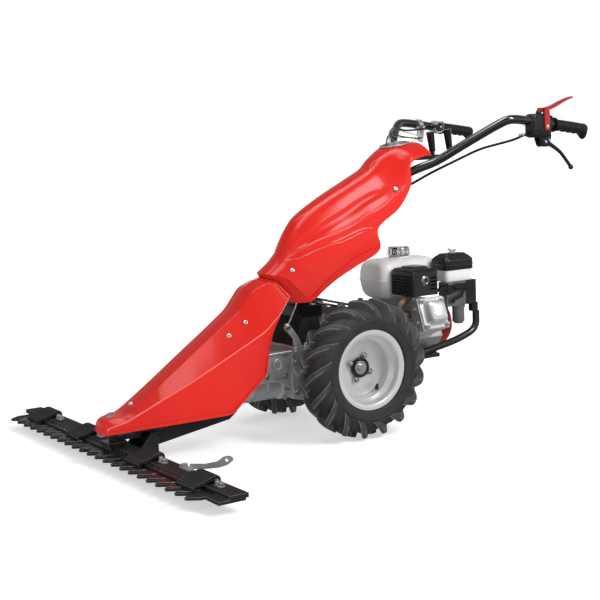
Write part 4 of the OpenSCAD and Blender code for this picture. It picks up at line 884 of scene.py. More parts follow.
def build_front_cover(sizes):
    edge, flange = sizes.cover_edge / MM, sizes.cover_flange / MM
    rows = []
    for half in FRONT_NET:
        q = [Vector(p) for p in half]
        rise = (q[2] - q[3]).normalized()
        reach = min(flange, 0.4 * (q[2] - q[3]).length)
        rows.append(whole([*q[:3], q[3] + rise * (reach + FLANGE_SLOPE), q[3] + rise * reach, q[3]]))
    for back in (flange + FLANGE_SLOPE, flange):
        tail = [b + (a - b).normalized() * min(0.45 * (a - b).length, back) for a, b in zip(rows[-2], rows[-1])]
        rows.insert(len(rows) - 1, tail)
    rows = [rounded(row, edge, 4) for row in rows]
    columns = [rounded(list(column), 14, 4) for column in zip(*rows)]
    grid = [list(row) for row in zip(*columns)]
    normals = grid_normals(grid)
    last_row, last = len(grid) - 1, len(grid[0]) - 1
    for i, row in enumerate(grid):
        for j in range(last + 1):
            if min(j, last - j, last_row - i) < FLANGE_LINES:
                row[j] = row[j] + normals[i][j] * FLANGE_LIFT
    bm = bmesh.new()
    sheet_of(bm, grid, at(0, -464, 276))
    columns_at = kdtree.KDTree(len(grid) * (last + 1))
    for row in grid:
        for j, p in enumerate(row):
            columns_at.insert(at(*p), j)
    columns_at.balance()
    # Faces along the side creases take the lighter red: a painted highlight
    creases = {j for column in CREASE_COLUMNS for j in (column, last - 1 - column)}
    for face in bm.faces:
        if min(columns_at.find(v.co)[1] for v in face.verts) in creases:
            face.material_index = 1
    piece(bm, "front_cover_shell", "red_plastic", ("front_hood",), bevel=0.001, wall=sizes.cover_t, crease=60,
          edge="red_painted_highlight", keep_sides=True, flat=True)


def build_upper_cover(sizes):
    grid = []
    for k in range((len(UPPER_ROWS) - 1) * ROW_STEPS + 1):
        cross = upper_section(k / ROW_STEPS)
        grid.append([spline(cross, j / COLUMN_STEPS) for j in range(2 * UPPER_HALF * COLUMN_STEPS + 1)])
    normals = grid_normals(grid)
    for k, row in enumerate(grid):
        for j in range(len(row)):
            row[j] = row[j] + normals[k][j] * relief(k / ROW_STEPS, abs(j / COLUMN_STEPS - UPPER_HALF))
    lip = grid[0]
    foot = lip[0].z
    wall = []
    for share in (1.0, 0.5, 0.12, 0.03):
        wall.append([p + Vector((0, 0.34 * share ** 0.6, -share)) * min(72.0, p.z - foot) for p in lip])
    grid = wall + grid
    bm = bmesh.new()
    sheet_of(bm, grid, at(0, 104, 727))
    hole = at(0, OPENING_Y, 0)
    for v in bm.verts:
        away = Vector((v.co.x, v.co.y, 0)) - hole
        v.tag = v.co.z > OPENING_ABOVE * MM and away.length < (OPENING_R + 0.5) * MM
    bmesh.ops.delete(bm, geom=[f for f in bm.faces if all(v.tag for v in f.verts)], context="FACES")
    for v in bm.verts:
        if v.tag:
            away = Vector((v.co.x - hole.x, v.co.y - hole.y, 0)).normalized() * OPENING_R * MM
            v.co.x, v.co.y = hole.x + away.x, hole.y + away.y
    piece(bm, "upper_cover_shell", "red_plastic", ("upper_hood",), bevel=0.001, wall=sizes.cover_t, crease=60,
          keep_sides=True)


def build_opening_ring():
    front, middle, back = (UPPER_NET[row][0][1] for row in (9, 10, 11))
    bead = []
    for k in range(BEAD_STEPS):
        a = 2 * pi * k / BEAD_STEPS
        x, y = BEAD_R * cos(a), OPENING_Y + BEAD_R * sin(a)
        u = 9 + (y - front) / (middle - front) if y < middle else 10 + (y - middle) / (back - middle)
        top = Vector((x, y, spline(upper_section(u), UPPER_HALF + abs(x) / 40).z))
        out = Vector((x, y - OPENING_Y, 0)).normalized()
        bead.append([at(*(top + out * r + Z * h)) for r, h in BEAD])
    bm = bmesh.new()
    loft(bm, bead + bead[:1], caps=False)
    bmesh.ops.remove_doubles(bm, verts=bm.verts, dist=1e-6)
    piece(bm, "opening_ring", "strip_steel", crease=50)


def build_covers(sizes):
    build_front_cover(sizes)
    build_upper_cover(sizes)
    build_opening_ring()
    dress("hood_screws", sizes.sharp_edge)
    bm = bmesh.new()
    for point, normal in COVER_SCREWS:
        for sign in (1, -1):
            foot = at(point[0] * sign, point[1], point[2])
            axis = Vector((normal[0] * sign, normal[1], normal[2]))
            dome_screw(bm, foot - axis * 0.5 * MM, axis, 7.5)
    dome_screw(bm, at(0, -637.5, 157.8), Vector((0, -0.556, 0.829)), 7.5)
    piece(bm, "cover_screws", "zinc", bevel=SCREW_EDGE)


# ---------------------------------------------------------------- engine

CRANK_Z = 266
CYLINDER_Y = 311
CYLINDER_TILT = radians(20.0)
HEAD_CORNERS = ((-37, -39), (37, -39), (-37, 39), (37, 39))


def on_cylinder(along, y, high):
    """Point beside the slanting cylinder: along it, to the rear and square to it."""
    c, s = cos(CYLINDER_TILT), sin(CYLINDER_TILT)
    return at(along * c - high * s, CYLINDER_Y + y, CRANK_Z + along * s + high * c)


def case_details(bm):
    """Ribs, round plate, drain plug and screws of the crankcase."""
    for y in (222, 378):
        block(bm, at(-88.5, y, 202), at(-84, y + 10, 338))
    for z in (224, 296, 320):
        block(bm, at(-87.5, 230, z), at(-84, 380, z + 5))
    turn(bm, [(-1, 30), (3, 29), (5, 26), (5, 17), (3, 16), (3, 0.01)], at(-85, 305, 262), -X, 48)
    hex_screw(bm, at(-85, 356, 210), -X, 10, 7, 12)
    for y in (227, 383):
        for z in (212, 270, 328):
            hex_screw(bm, at(-88.5, y, z), -X, 5, 4)
    for y in (226, 262, 350, 384):
        hex_screw(bm, at(60, y, 200), X, 6, 7, 8.5)
    for z in (204, 240, 280, 310):
        hex_screw(bm, at(-70, 398, z), Y, 6, 7, 8.5)


def build_valve_cover():
    bm = bmesh.new()
    for low, high, shapes in ((-48, 48, ((168.1, 0, 12), (172.4, 0, 12), (173.2, 0.8, 11))),
                              (-37, 36, ((172, -2, 16), (174.5, 0, 15), (188, 2, 15), (197, 4.5, 14), (201.5, 8, 13),
                                         (204, 13, 11), (205, 20, 8)))):
        loft(bm, [[on_cylinder(a, y, h) for h, y in round_rect(low + i, low + 2 + i, high - i, high - 2 - i, r, 6)]
                  for a, i, r in shapes])
    loft(bm, [[on_cylinder(a, y, h) for h, y in round_rect(-20 + i, -22 + i, 20 - i, 22 - i, 7, 5)]
              for a, i in ((204, 0), (206, 0.6), (206.6, 2))])
    for y, h in HEAD_CORNERS:
        rod(bm, on_cylinder(172, y, h), on_cylinder(178, y, h), 9.5, 24, 8.5)
    piece(bm, "valve_cover_cast", "valve_alloy", ("valve_cover",), bevel=0.0012, segments=3, crease=36)
    bm = bmesh.new()
    for y, h in HEAD_CORNERS:
        foot = on_cylinder(178, y, h)
        hex_screw(bm, foot, on_cylinder(200, y, h) - foot, 6, 7, 8)
    for y, h in ((-52, 20), (-52, -22), (52, 12)):
        foot = on_cylinder(150, y * 0.96, h)
        hex_screw(bm, foot, Y * (1 if y > 0 else -1), 5, 6, 7)
    piece(bm, "head_screws", "zinc", bevel=SCREW_EDGE)


def build_starter():
    bm = bmesh.new()
    turn(bm, [(398.1, 70), (398.1, 74), (444, 74), (454, 72), (461, 67), (465, 59), (466, 52), (466, 36), (464, 33),
              (464, 12), (466, 10), (466, 0.01)], at(0, 0, CRANK_Z), Y, 72)
    piece(bm, "starter_shroud_pressed", "shroud_red", ("starter_shroud",), bevel=0.0008)
    # Black plates in place of the shroud's slots: painted shade of the openings
    bm = bmesh.new()
    for k in range(12):
        a = radians(30 * k)
        middle = at(49 * cos(a), 465.7, CRANK_Z + 49 * sin(a))
        half = Vector((12.0, 0.7, 3.6)) * MM
        block(bm, middle - half, middle + half, Matrix.Rotation(-a, 4, "Y"))
    piece(bm, "starter_slots", "black_plastic", bevel=0.0004)


def build_engine_guard(sizes):
    guard = rounded([at(105, 262, 186), at(105, 300, 194), at(105, 449, 219), at(105, 528, 246), at(105, 528, 303.9)],
                    0.04, 10)
    bm = bmesh.new()
    loft(bm, rings(guard, sizes.guard_r, 24, X))
    block(bm, at(40, 300, 176), at(112, 372, 187.9))
    plate(bm, [at(97, 306, 176), at(97, 366, 176), at(97, 366, 204), at(97, 306, 194)], X * 7 * MM)
    for y in (312, 356):
        hex_screw(bm, at(104, y, 184), X, 6, 6, 8)
    piece(bm, "engine_guard_bent", "black_paint", ("engine_guard",), bevel=sizes.soft_edge)


def build_engine(sizes):
    dress("clutch_housing", sizes.soft_edge)
    dress("crankcase", sizes.soft_edge * 2, add=case_details, segments=3)
    dress("crankshaft", sizes.sharp_edge)
    dress("cylinder_block", sizes.sharp_edge)
    build_valve_cover()
    build_starter()
    build_engine_guard(sizes)


def build_exhaust(sizes):
    def guard_top(bm):
        stack(bm, (35, 245, 150, 343), 5, ((-0.4, 10, 446), (-0.4, 10, 450), (1.5, 10, 452), (9, 9, 457.5),
                                           (12, 8, 459), (18, 7, 460)))
        stack(bm, (58, 262, 128, 326), 6, ((0, 16, 459), (0, 16, 462), (2, 16, 464), (6, 16, 465)))
        fold_x, fold_y = (Matrix.Rotation(radians(36), 4, axis) for axis in "XY")
        slat_x, slat_y = (Matrix.Rotation(radians(-28), 4, axis) for axis in "XY")
        for k in range(13):
            block(bm, at(48 + k * 7, 246.5, 452.5), at(51 + k * 7, 255, 456.5), fold_x)
        for k in range(9):
            block(bm, at(140, 258 + k * 8.5, 452.5), at(148.6, 261.6 + k * 8.5, 456.5), fold_y)
        for k in range(6):
            for x in (46, 96):
                block(bm, at(x - 1, 241.8, 391.6 + k * 9), at(x + 43, 245.4, 393 + k * 9), slat_x)
        for k in range(4):
            block(bm, at(149.6, 306, 398.6 + k * 11), at(153, 334, 400 + k * 11), slat_y)
        for y, z in ((262, 392), (276, 386), (320, 386), (256, 440), (330, 440)):
            dome_screw(bm, at(149.6, y, z), X, 4.2)

    dress("muffler", sizes.soft_edge)
    dress("muffler_guard", 0.0014, finish="black_paint", add=guard_top)
    bm = bmesh.new()
    turn(bm, [(-1, 14.5), (2, 14.5), (3.4, 13), (3.4, 11.4), (5.5, 10.8), (6, 9.6), (5.4, 8.2), (2, 7.6), (-8, 7.4),
              (-8, 10.2), (-1, 14.5)], at(149.8, 288, 424), X, 40)
    piece(bm, "exhaust_ring", "shaft_steel", crease=45)


CAP_X, CAP_Y = -40, 338
CAP_STEPS = 144
CAP_FLUTES = 12
# Height, radius and share of the flutes from the foot of the fuel cap to its middle
CAP_PROFILE = ((486, 33.5, 0), (486.6, 35.2, 0), (489, 35.8, 0), (490.5, 35.9, 0.2), (492, 35.6, 1), (503, 34.6, 1),
               (505, 34.6, 0.2), (506.5, 34.6, 0), (509, 34.2, 0), (511.2, 32.8, 0), (513, 29.5, 0), (513.6, 24, 0),
               (513.2, 14, 0), (513, 3, 0))


def build_tank():
    bm = bmesh.new()
    stack(bm, (-110, 222, 33, 452), 8, (
        (42, 18, 356), (30, 20, 356.6), (20, 22, 359), (12, 25, 366), (5, 27, 380), (1, 28, 400), (0, 28, 413.8),
        (0, 28, 415), (-2.6, 27, 415.5), (-2.6, 27, 418.5), (0, 28, 419), (0, 28, 420.2), (0, 30, 440),
        (1.5, 31, 454), (5, 31, 463.5), (11, 30, 470.5), (19, 28, 475.2), (30, 24, 478.4), (44, 18, 480)))
    turn(bm, [(-2, 33), (3, 32), (5, 27), (6, 25), (11, 25), (12, 24), (12, 21), (2, 21)], at(CAP_X, CAP_Y, 480),
         Z, 48)
    for y in (250, 380):
        block(bm, at(-70, y, 350), at(-30, y + 24, 358))
    piece(bm, "fuel_tank_moulded", "tank_grey", ("fuel_tank",), bevel=0.0008, crease=44)

    bm = bmesh.new()
    sections = []
    for z, r, flute in CAP_PROFILE:
        ring = []
        for k in range(CAP_STEPS):
            a = 2 * pi * k / CAP_STEPS
            reach = r - flute * 2.6 * max(0.0, cos(a * CAP_FLUTES)) ** 0.6
            ring.append(at(CAP_X + reach * cos(a), CAP_Y + reach * sin(a), z))
        sections.append(ring)
    loft(bm, sections)
    piece(bm, "fuel_cap_fluted", "cap_chrome", ("fuel_cap",), BODY["fuel_cap"], crease=30)


def build_intake(sizes):
    bm = bmesh.new()
    stack(bm, (36, 400, 117, 516), 6, (
        (4, 12, 441), (0.6, 14, 440), (0, 14, 442), (0, 14, 447), (1.6, 13, 448), (1.6, 13, 450), (0, 14, 451),
        (0, 14, 461), (1.6, 13, 462), (1.6, 13, 464), (0.2, 14, 465), (0.6, 14, 470), (3, 13, 474), (9, 12, 481),
        (12, 11, 483.5), (14, 11, 484), (17, 10, 487.5), (19, 9, 489), (24, 8, 490)))
    piece(bm, "filter_cover_stepped", "black_plastic", ("filter_cover",), bevel=0.0005, crease=30)
    dress("filter_base", sizes.soft_edge)
    dress("wing_nut", sizes.sharp_edge)

    def small_parts(bm):
        turn(bm, [(0, 19.4), (4, 21.5), (7, 21.5), (8, 19.4)], at(114, 448, 322), Z, 40)
        turn(bm, [(-8, 12), (0, 19.2), (2, 19.4), (2, 8)], at(114, 448, 281), Z, 32)
        for x, y in ((96, 400), (118, 400), (96, 462), (118, 462)):
            hex_screw(bm, at(x, y, 330), -Z, 4, 5)
        rod(bm, at(124, 412, 350), at(132, 412, 350), 11, 28)
        rod(bm, at(124, 446, 366), at(130, 446, 366), 8, 24)

    dress("carburettor", sizes.soft_edge, finish="dark_casting", add=small_parts)
    bm = bmesh.new()
    for x, outline in (
            (127, ((386, 372), (398, 366), (440, 378), (470, 384), (470, 398), (430, 400), (392, 394))),
            (133, ((404, 344), (414, 340), (422, 350), (450, 356), (452, 363), (418, 362), (406, 356))),
            (131, ((438, 358), (448, 356), (458, 372), (478, 378), (476, 385), (452, 380)))):
        plate(bm, [at(x, y, z) for y, z in outline], X * 2.4 * MM)
    rod(bm, at(124, 412, 350), at(137, 412, 350), 3.4, 16)
    rod(bm, at(124, 446, 366), at(136, 446, 366), 3.0, 16)
    rod(bm, at(136, 392, 380), at(136, 474, 381), 1.7, 10)
    for y in (392, 474):
        rod(bm, at(127, y, 380.4), at(137, y, 380.4), 2.6, 12)
    turn(bm, [(k, 3.6 if k % 2 else 2.6) for k in range(26)], at(133.5, 420, 388), Y, 14)
    hose = [at(*q) for q in ((126, 398, 398), (134, 384, 404), (128, 368, 396), (110, 362, 372))]
    loft(bm, rings(smooth_line(hose, 6), 3.4 * MM, 12))
    piece(bm, "carburettor_linkage", "black_plastic", bevel=0.0005)
    dress("intake_box", sizes.soft_edge * 2)


# ---------------------------------------------------------------- handlebar and controls

GRIP_X = 270.0
GRIP_TILT = radians(-8.0)
GRIP_LEN = 138.0
GRIP_Y0 = 846.0 - GRIP_LEN * cos(GRIP_TILT) + 18.0 * sin(GRIP_TILT)
GRIP_ALONG = Vector((0, cos(GRIP_TILT), sin(GRIP_TILT)))
GRIP_UP = Vector((0, -sin(GRIP_TILT), cos(GRIP_TILT)))


def grip_point(s, x=GRIP_X):
    """Point on the middle line of a grip, s from its front end."""
    return Vector((x, GRIP_Y0, 877.0)) + GRIP_ALONG * s


def handle_path(sign):
    """Middle line of a handlebar tube from the column to the end of its grip."""
    route = [Vector(p) for p in ((34.1, 214, 714), (52, 214, 714), (64, 268, 734), (80, 318, 757), (110, 372, 776),
                                 (180, 431, 829), (258, 514, 892))] + [grip_point(-162), grip_point(125)]
    return [at(p.x * sign, p.y, p.z) for p in rounded(route, 46, 10)]


def build_handlebar(sizes):
    for side, sign in (("left", 1), ("right", -1)):
        bm = bmesh.new()
        loft(bm, rings(handle_path(sign), sizes.tube_r, 28))
        piece(bm, side + "_handlebar_bent", "tube_gloss", (side + "_handlebar",), bevel=0.001)

    bm = bmesh.new()
    for sign in (1, -1):
        sections = []
        for k in range(70):
            s = 2.0 + (GRIP_LEN - 2.0) * k / 69
            wave = 0.5 - 0.5 * cos(2 * pi * (s - 22) / 23.5) if 22 < s < 116 else 0.0
            collar = 5.0 * (1 - step_up((s - 5.5) / 4.0))
            hook = step_up((s - 112) / 20)
            shut = 1.0 - 0.10 * step_up((s - 133) / 5)
            ring = []
            for j in range(36):
                a = 2 * pi * j / 36
                under = max(0.0, -sin(a))
                r = (sizes.grip_r / MM + 0.6 * sin(pi * s / GRIP_LEN) + collar - 2.6 * wave * under ** 1.5) * shut
                drop = 13.5 * hook * under ** 1.2
                p = Vector((r * cos(a) * sign, 0, 0)) + GRIP_UP * (r * sin(a) - drop)
                p += grip_point(min(s, GRIP_LEN), 0.0) + Vector((GRIP_X * sign, 0, 0))
                ring.append(at(*p))
            sections.append(ring)
        loft(bm, sections)
    piece(bm, "grips_moulded", "grip_rubber", ("grips",), bevel=0.0015, segments=3, crease=50)


def sweep(bm, line, section):
    """Loft along a line in an upright plane. The section gives (across, up) points for a share of the line."""
    last = len(line) - 1
    sections = []
    for i, p in enumerate(line):
        along = (line[min(i + 1, last)] - line[max(i - 1, 0)]).normalized()
        rise = X.cross(along).normalized()
        sections.append([p + X * (x * MM) + rise * (z * MM) for x, z in section(i / last)])
    loft(bm, sections)


def build_control_block():
    bm = bmesh.new()
    stack(bm, (249, 606, 291, 688), 5, ((7, 12, 840), (2, 12, 843), (0, 12, 848), (0, 12, 903), (2.5, 12, 909),
                                        (8, 12, 912)))
    for x in (256, 279):
        loft(bm, [[at(px, y, z) for px, y in round_rect(x, 640 + i, x + 5, 690 - i, 2, 2)]
                  for i, z in ((0, 846), (2, 834), (10, 816), (16, 811))])
    rod(bm, at(255, 662, 826), at(285.5, 662, 826), 4, 16)
    for x in (252, 283.5):
        rod(bm, at(x, 664, 914), at(x + 4.5, 664, 914), 10, 28)
        block(bm, at(x, 655, 906), at(x + 4.5, 673, 914))
    for y, z in ((618, 900), (618, 852), (682, 900)):
        dome_screw(bm, at(290.8, y, z), X, 4.5)
    block(bm, at(290.4, 610, 862), at(293, 626, 890))
    block(bm, at(248.6, 605.4, 876), at(291.5, 642, 877.6))
    turn(bm, [(0, 6), (6, 6), (7, 5), (7, 4), (16, 4), (17, 4.6), (17, 0.01)], at(266, 606.5, 850), -Y, 20)
    piece(bm, "control_block_moulded", "black_plastic", ("control_block",), bevel=0.0008)

    bm = bmesh.new()
    for x in (251.4, 288.1):
        hex_screw(bm, at(x, 664, 914), X * (1 if x > GRIP_X else -1), 4.5, 4)
    hex_screw(bm, at(284, 662, 826), X, 5, 5)
    hex_screw(bm, at(284, 676, 832), X, 4, 4)
    turn(bm, [(0, 5), (5, 5), (6, 3.6), (14, 3.6), (15, 4.4), (18, 4.4), (18, 0.01)], at(266, 590.5, 850), -Y, 16)
    piece(bm, "control_screws", "zinc", bevel=SCREW_EDGE)
    bm = bmesh.new()
    hex_screw(bm, at(295.2, 662, 872), X, 4, 3, 6)
    piece(bm, "stop_lever_screw", "zinc", (), BODY["stop_lever"], bevel=SCREW_EDGE)


def build_clutch_lever():
    bm = bmesh.new()
    line = smooth_line([at(GRIP_X, *p) for p in ((655, 826), (676, 825), (704, 813), (738, 792), (764, 766),
                                                 (784, 744))], 6)

    def clutch_section(share):
        w, h = 8.4 - 2.2 * share, 9.0 - 4.2 * step_up(share * 1.4)
        return [(w * cos(a), -h * sin(a)) for a in (2 * pi * k / 20 for k in range(20))]

    sweep(bm, line, clutch_section)
    turn(bm, [(8.2 * cos(pi * k / 12), max(0.01, 8.2 * sin(pi * k / 12))) for k in range(13)], line[-1], X, 24)
    piece(bm, "clutch_lever_cast", "black_paint", ("clutch_lever",), BODY["clutch_lever"], bevel=0.001)


def build_stop_lever():
    bm = bmesh.new()
    line = smooth_line([at(GRIP_X, *p) for p in ((656, 923.5), (676, 925), (704, 931.5), (734, 943), (762, 953),
                                                 (787, 959.4))], 6)

    def stop_section(share):
        w, h = 12.2 - 3.5 * share, 5.2 - 2.9 * share
        return round_rect(-w, -h, w, h, 1.6, 3)

    sweep(bm, line, stop_section)
    block(bm, at(257.5, 655, 915), at(282.5, 669, 929))
    block(bm, at(GRIP_X, 654, 926), at(295, 670, 929.6))
    loft(bm, [[at(x, y, z) for x, y in round_rect(291.6, 662 - w, 295.2, 662 + w, 1.2, 2)]
              for w, z in ((7, 861), (9.5, 864), (10.5, 880), (10.5, 912), (9, 929.6))])
    piece(bm, "stop_lever_moulded", "lever_red", ("stop_lever",), BODY["stop_lever"], bevel=0.0006, crease=50)


def build_cables(sizes):
    bm = bmesh.new()
    clutch = [at(*p) for p in ((266, 605.6, 850), (266, 590, 849), (250, 566, 836), (176, 494, 812), (104, 362, 746),
                               (66, 290, 704), (30, 240, 684), (26.3, 218, 672))]
    drum_front = GRIP_Y0 - 21.0 * cos(GRIP_TILT) - 20.0
    throttle = [at(*p) for p in ((-253, drum_front - 0.8, 880), (-252, 644, 876), (-216, 520, 872), (-130, 396, 884),
                                 (-42, 318, 866), (-28, 302, 820), (-26, 294, 770))]
    wire = [at(*p) for p in ((-251.2, 612, 846), (-250.6, 596, 844), (-208, 500, 852), (-112, 372, 866),
                             (-30, 296, 854), (-20, 280, 806), (-17, 274, 764))]
    for route, radius in ((clutch, sizes.cable_r), (throttle, sizes.cable_r * 0.75), (wire, sizes.cable_r * 0.62)):
        loft(bm, rings(rounded(route, 0.03, 8), radius, 14))
    piece(bm, "control_cables_sheathed", "cable_black", ("control_cables",), bevel=0.0005)

    bm = bmesh.new()
    for start, lean in ((-2, 0), (3, 14), (7, -10)):
        line = [at(*q) for q in ((-252, 606 - start * 2, 842 + start * 3), (-232, 560, 846 + lean),
                                 (-170, 450, 852 + lean * 1.6), (-92, 356, 862 + lean),
                                 (-34 + start, 306, 852), (-22 + start, 292, 806))]
        loft(bm, rings(smooth_line(line, 6), 1.1 * MM, 8))
    piece(bm, "bare_wires", "zinc")


def build_controls(sizes):
    build_control_block()
    build_clutch_lever()
    build_stop_lever()
    dress("throttle_clamp", sizes.soft_edge, finish="zinc")
    dress("throttle_lever", sizes.soft_edge)
    dress("cable_bracket", sizes.sharp_edge, finish="zinc")
    build_cables(sizes)
    for node in ("gear_lever", "lock_lever"):
        dress(node, sizes.soft_edge * 1.5, segments=3)


# ---------------------------------------------------------------- stage

def place_camera(stage):
    right, up = Vector((0.55272, 0.83263, -0.03511)), Vector((-0.09206, 0.10288, 0.99042))
    back, eye = Vector((0.82827, -0.54419, 0.13352)), Vector((3.20211, -2.21144, 0.90408))
    lens = bpy.data.cameras.new("photo_camera")
    lens.lens = stage.lens
    lens.sensor_width = 36.0
    camera = bpy.data.objects.new("photo_camera", lens)
    camera.matrix_world = Matrix([[right[i], up[i], back[i], eye[i]] for i in range(3)] + [[0, 0, 0, 1]])
    bpy.context.scene.collection.objects.link(camera)
    bpy.context.scene.camera = camera


def lay_floor(stage, colours):
    bm = bmesh.new()
    bmesh.ops.create_circle(bm, cap_ends=True, cap_tris=False, segments=96, radius=80.0)
    mesh = bpy.data.meshes.new("studio_floor")
    bm.to_mesh(mesh)
    bm.free()
    floor = bpy.data.objects.new("studio_floor", mesh)
    bpy.context.scene.collection.objects.link(floor)
    f = Finish("studio_floor")
    away = f.node("ShaderNodeVectorMath", {"operation": "LENGTH"}, {0: f.place}, "Value")
    glow = f.ramp(away * 0.11, (0.18, stage.floor_glow), (0.40, 1.0))
    f.set(base_color=tuple(colours.floor), roughness=0.9, emission_color=glow, emission_strength=1.0)
    mesh.materials.append(f.material)
    floor.visible_glossy = False


def light_room(stage):
    world = bpy.data.worlds.new("studio_room")
    world.use_nodes = True
    nodes, links = world.node_tree.nodes, world.node_tree.links
    place = nodes.new("ShaderNodeTexCoord")
    parts = nodes.new("ShaderNodeSeparateXYZ")
    share = nodes.new("ShaderNodeMath")
    share.operation = "MULTIPLY_ADD"
    share.inputs[1].default_value = share.inputs[2].default_value = 0.5
    ramp = nodes.new("ShaderNodeValToRGB")
    steps = ((0.42, 0.18), (0.488, 1.0), (0.552, 1.0), (0.61, 0.42), (0.95, 0.22))
    while len(ramp.color_ramp.elements) < len(steps):
        ramp.color_ramp.elements.new(1.0)
    for element, (height, light) in zip(ramp.color_ramp.elements, steps):
        element.position = height
        element.color = (light, light, light, 1.0)
    links.new(place.outputs["Generated"], parts.inputs[0])
    links.new(parts.outputs["Z"], share.inputs[0])
    links.new(share.outputs[0], ramp.inputs[0])
    links.new(ramp.outputs[0], nodes["Background"].inputs["Color"])
    nodes["Background"].inputs["Strength"].default_value = stage.sky
    bpy.context.scene.world = world


def hang_lamps(stage):
    for name, eye, size, power, mirrored, spread in (
            ("key_light", (3.3, 1.2, 3.4), (1.0, 2.8), stage.key, True, True),
            ("strip_light", (-0.5, -0.3, 3.4), (0.4, 3.0), stage.fill * 0.7, True, True),
            ("shine_light", (0.2, -0.6, 3.4), (1.2, 3.0), stage.fill * 3.0, True, False),
            ("front_light", (1.6, -4.2, 1.8), (1.2, 1.6), stage.fill * 0.7, True, True),
            ("back_light", (-2.6, 2.4, 2.8), (2.0, 2.0), stage.fill * 0.6, False, True)):
        light = bpy.data.lights.new(name, "AREA")
        light.shape = "RECTANGLE"
        light.size, light.size_y = size
        light.energy = power
        lamp = bpy.data.objects.new(name, light)
        lamp.visible_glossy, lamp.visible_diffuse = mirrored, spread
        aim = Vector((0, 0, 0.4)) - Vector(eye)
        lamp.matrix_world = Matrix.Translation(eye) @ aim.to_track_quat("-Z", "Y").to_matrix().to_4x4()
        bpy.context.scene.collection.objects.link(lamp)


def build_stage(stage, colours):
    place_camera(stage)
    lay_floor(stage, colours)
    light_room(stage)
    hang_lamps(stage)
    bpy.context.scene.view_settings.view_transform = "Standard"


# ---------------------------------------------------------------- add-on

class MowerGroup:
    """Shared part of the operators"""
    bl_options = {"REGISTER", "UNDO"}

    def execute(self, context):
        self.build(context.scene)
        return {"FINISHED"}


class MOWER_OT_finishes(MowerGroup, bpy.types.Operator):
    """Makes the materials of all pieces"""
    bl_idname = "mower.finishes"
    bl_label = "Finishes"

    def build(self, scene):
        FINISHES.update(make_finishes(scene.mower_colours))


class MOWER_OT_wheels(MowerGroup, bpy.types.Operator):
    """Builds tyres, rims, valve stems, hubs and wheel nuts"""
    bl_idname = "mower.wheels"
    bl_label = "Wheels"

    def build(self, scene):
        build_wheels(scene.mower_sizes)


class MOWER_OT_transmission(MowerGroup, bpy.types.Operator):
    """Dresses the gearbox, axle tubes, drive shaft, frame and column"""
    bl_idname = "mower.transmission"
    bl_label = "Transmission and frame"

    def build(self, scene):
        build_transmission(scene.mower_sizes)


class MOWER_OT_cutter(MowerGroup, bpy.types.Operator):
    """Dresses the bar, fingers, knife, hold-downs and bolts"""
    bl_idname = "mower.cutter"
    bl_label = "Cutter bar"

    def build(self, scene):
        build_cutter(scene.mower_sizes)


class MOWER_OT_covers(MowerGroup, bpy.types.Operator):
    """Builds the front and upper covers with their screws"""
    bl_idname = "mower.covers"
    bl_label = "Covers"

    def build(self, scene):
        build_covers(scene.mower_sizes)


class MOWER_OT_engine(MowerGroup, bpy.types.Operator):
    """Dresses the engine block, starter shroud and guard tube"""
    bl_idname = "mower.engine"
    bl_label = "Engine"

    def build(self, scene):
        build_engine(scene.mower_sizes)


class MOWER_OT_exhaust(MowerGroup, bpy.types.Operator):
    """Dresses the muffler and its guard"""
    bl_idname = "mower.exhaust"
    bl_label = "Exhaust"

    def build(self, scene):
        build_exhaust(scene.mower_sizes)


class MOWER_OT_tank(MowerGroup, bpy.types.Operator):
    """Builds the fuel tank and its cap"""
    bl_idname = "mower.tank"
    bl_label = "Fuel tank"

    def build(self, scene):
        build_tank()


class MOWER_OT_intake(MowerGroup, bpy.types.Operator):
    """Builds the air filter, carburettor and duct"""
    bl_idname = "mower.intake"
    bl_label = "Intake"

    def build(self, scene):
        build_intake(scene.mower_sizes)


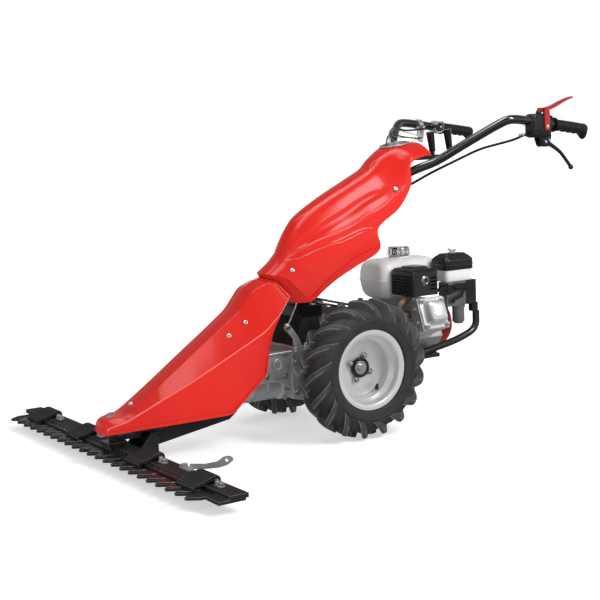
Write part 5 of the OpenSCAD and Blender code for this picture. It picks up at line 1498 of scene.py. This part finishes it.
class MOWER_OT_handlebar(MowerGroup, bpy.types.Operator):
    """Builds the handlebar tubes and grips"""
    bl_idname = "mower.handlebar"
    bl_label = "Handlebar"

    def build(self, scene):
        build_handlebar(scene.mower_sizes)


class MOWER_OT_controls(MowerGroup, bpy.types.Operator):
    """Builds the levers, cables and their clamps"""
    bl_idname = "mower.controls"
    bl_label = "Controls"

    def build(self, scene):
        build_controls(scene.mower_sizes)


class MOWER_OT_stage(MowerGroup, bpy.types.Operator):
    """Sets up the floor, the light and the camera"""
    bl_idname = "mower.stage"
    bl_label = "Stage"

    def build(self, scene):
        build_stage(scene.mower_stage, scene.mower_colours)


OPERATORS = (MOWER_OT_finishes, MOWER_OT_wheels, MOWER_OT_transmission, MOWER_OT_cutter, MOWER_OT_covers,
             MOWER_OT_engine, MOWER_OT_exhaust, MOWER_OT_tank, MOWER_OT_intake, MOWER_OT_handlebar,
             MOWER_OT_controls, MOWER_OT_stage)


class MOWER_PT_pieces(bpy.types.Panel):
    """Lists the pieces in the sidebar"""
    bl_idname = "MOWER_PT_pieces"
    bl_label = "Sickle bar mower"
    bl_space_type = "VIEW_3D"
    bl_region_type = "UI"
    bl_category = "Mower"

    def draw(self, context):
        for operator in OPERATORS:
            self.layout.operator(operator.bl_idname)
        for group in (context.scene.mower_sizes, context.scene.mower_colours, context.scene.mower_stage):
            for name in group.__annotations__:
                self.layout.prop(group, name)


CLASSES = (MowerSizes, MowerColours, MowerStage, *OPERATORS, MOWER_PT_pieces)


def register():
    for cls in CLASSES:
        bpy.utils.register_class(cls)
    bpy.types.Scene.mower_sizes = bpy.props.PointerProperty(type=MowerSizes)
    bpy.types.Scene.mower_colours = bpy.props.PointerProperty(type=MowerColours)
    bpy.types.Scene.mower_stage = bpy.props.PointerProperty(type=MowerStage)


def unregister():
    del bpy.types.Scene.mower_stage
    del bpy.types.Scene.mower_colours
    del bpy.types.Scene.mower_sizes
    for cls in reversed(CLASSES):
        bpy.utils.unregister_class(cls)


def main():
    register()
    for operator in OPERATORS:
        group, name = operator.bl_idname.split(".")
        getattr(getattr(bpy.ops, group), name)()


if __name__ == "__main__":
    main()
